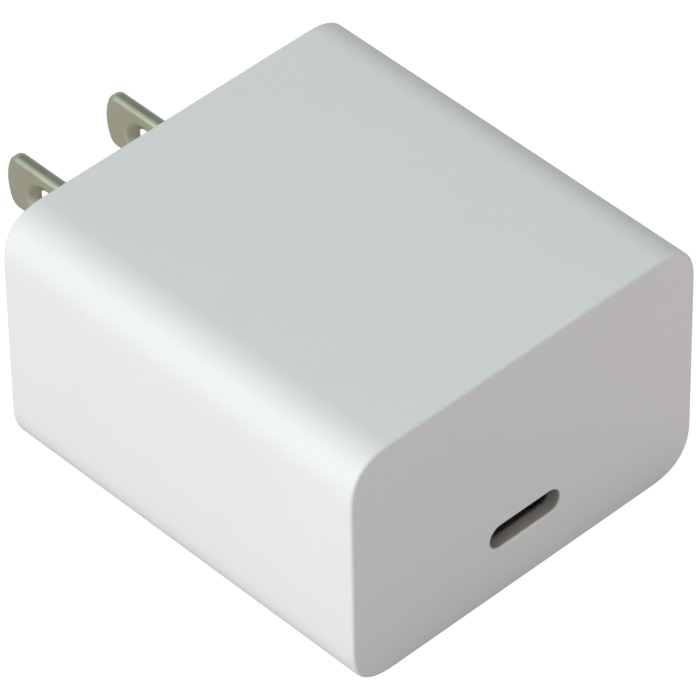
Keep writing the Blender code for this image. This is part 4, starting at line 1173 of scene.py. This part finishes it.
build_housing(rings, white)
build_cap(rings, white)
build_blade("left_blade", -1, nickel)
build_blade("right_blade", 1, nickel)
build_tongue(socket_black, gold, steel)
build_windings(enamelled_copper())
bulk_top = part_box("bulk_capacitor_rear")[1].z
sleeve = shrink_sleeve("bulk_sleeve", (0.012, 0.016, 0.038), (0.024, 0.030, 0.062), bulk_top)
for node in ("bulk_capacitor_rear", "bulk_capacitor_front"):
    build_can(rings, node, sleeve, BULK_LEAD_PITCH)
for node in ("output_capacitor_inner", "output_capacitor_outer"):
    build_can(rings, node, bare_can, OUTPUT_LEAD_PITCH)

ferrite = ground_ferrite()
carried_over = {
    "usb_c_shell": steel,
    "blade_carrier": glass_filled("carrier_black", (0.030, 0.030, 0.033), (0.14, 0.14, 0.14)),
    "left_contact_spring": bronze,
    "right_contact_spring": bronze,
    "main_board": solder_mask(),
    "board_insulator": clear_film("insulating_film", (0.06, 0.06, 0.066), (0.12, 0.12, 0.13),
                                  0.30),
    "transformer_core_lower": ferrite,
    "transformer_core_upper": ferrite,
    "transformer_bobbin": glass_filled("bobbin_phenolic", (0.022, 0.022, 0.024),
                                       (0.09, 0.085, 0.08)),
    "transformer_tape": polyester_tape(),
    "x_capacitor": plain_moulding("box_yellow", (0.66, 0.52, 0.03), (0.80, 0.66, 0.06), 0.36),
    "y_capacitor": plain_moulding("dipped_blue", (0.03, 0.17, 0.46), (0.06, 0.25, 0.58), 0.26,
                                  1200.0, 0.00004),
    "choke_core": plain_moulding("coated_green", (0.012, 0.13, 0.05), (0.026, 0.19, 0.085), 0.36,
                                 1500.0, 0.00003),
    "choke_base": glass_filled("choke_base_black", (0.022, 0.022, 0.024), (0.08, 0.08, 0.08)),
    "input_fuse": plain_moulding("fuse_brown", (0.16, 0.07, 0.03), (0.24, 0.11, 0.05), 0.38),
    "bridge_rectifier": package_black,
    "thermistor": plain_moulding("thermistor_green", (0.014, 0.08, 0.035), (0.028, 0.12, 0.06),
                                 0.42, 1400.0, 0.00004),
    "optocoupler": plain_moulding("coupler_white", (0.74, 0.74, 0.69), (0.84, 0.84, 0.80), 0.48),
    "primary_switch": package_black,
    "sync_rectifier": package_black,
    "port_controller": package_black,
    "isolation_barrier": clear_film("amber_sheet", (0.48, 0.42, 0.24), (0.60, 0.55, 0.37), 0.24),
    "left_heat_spreader": aluminium,
    "right_heat_spreader": aluminium,
    "thermal_pad": plain_moulding("silicone_pad", (0.30, 0.40, 0.55), (0.39, 0.49, 0.64), 0.78,
                                  2500.0, 0.00003),
}
for node, finish in carried_over.items():
    paint(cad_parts[node], finish)
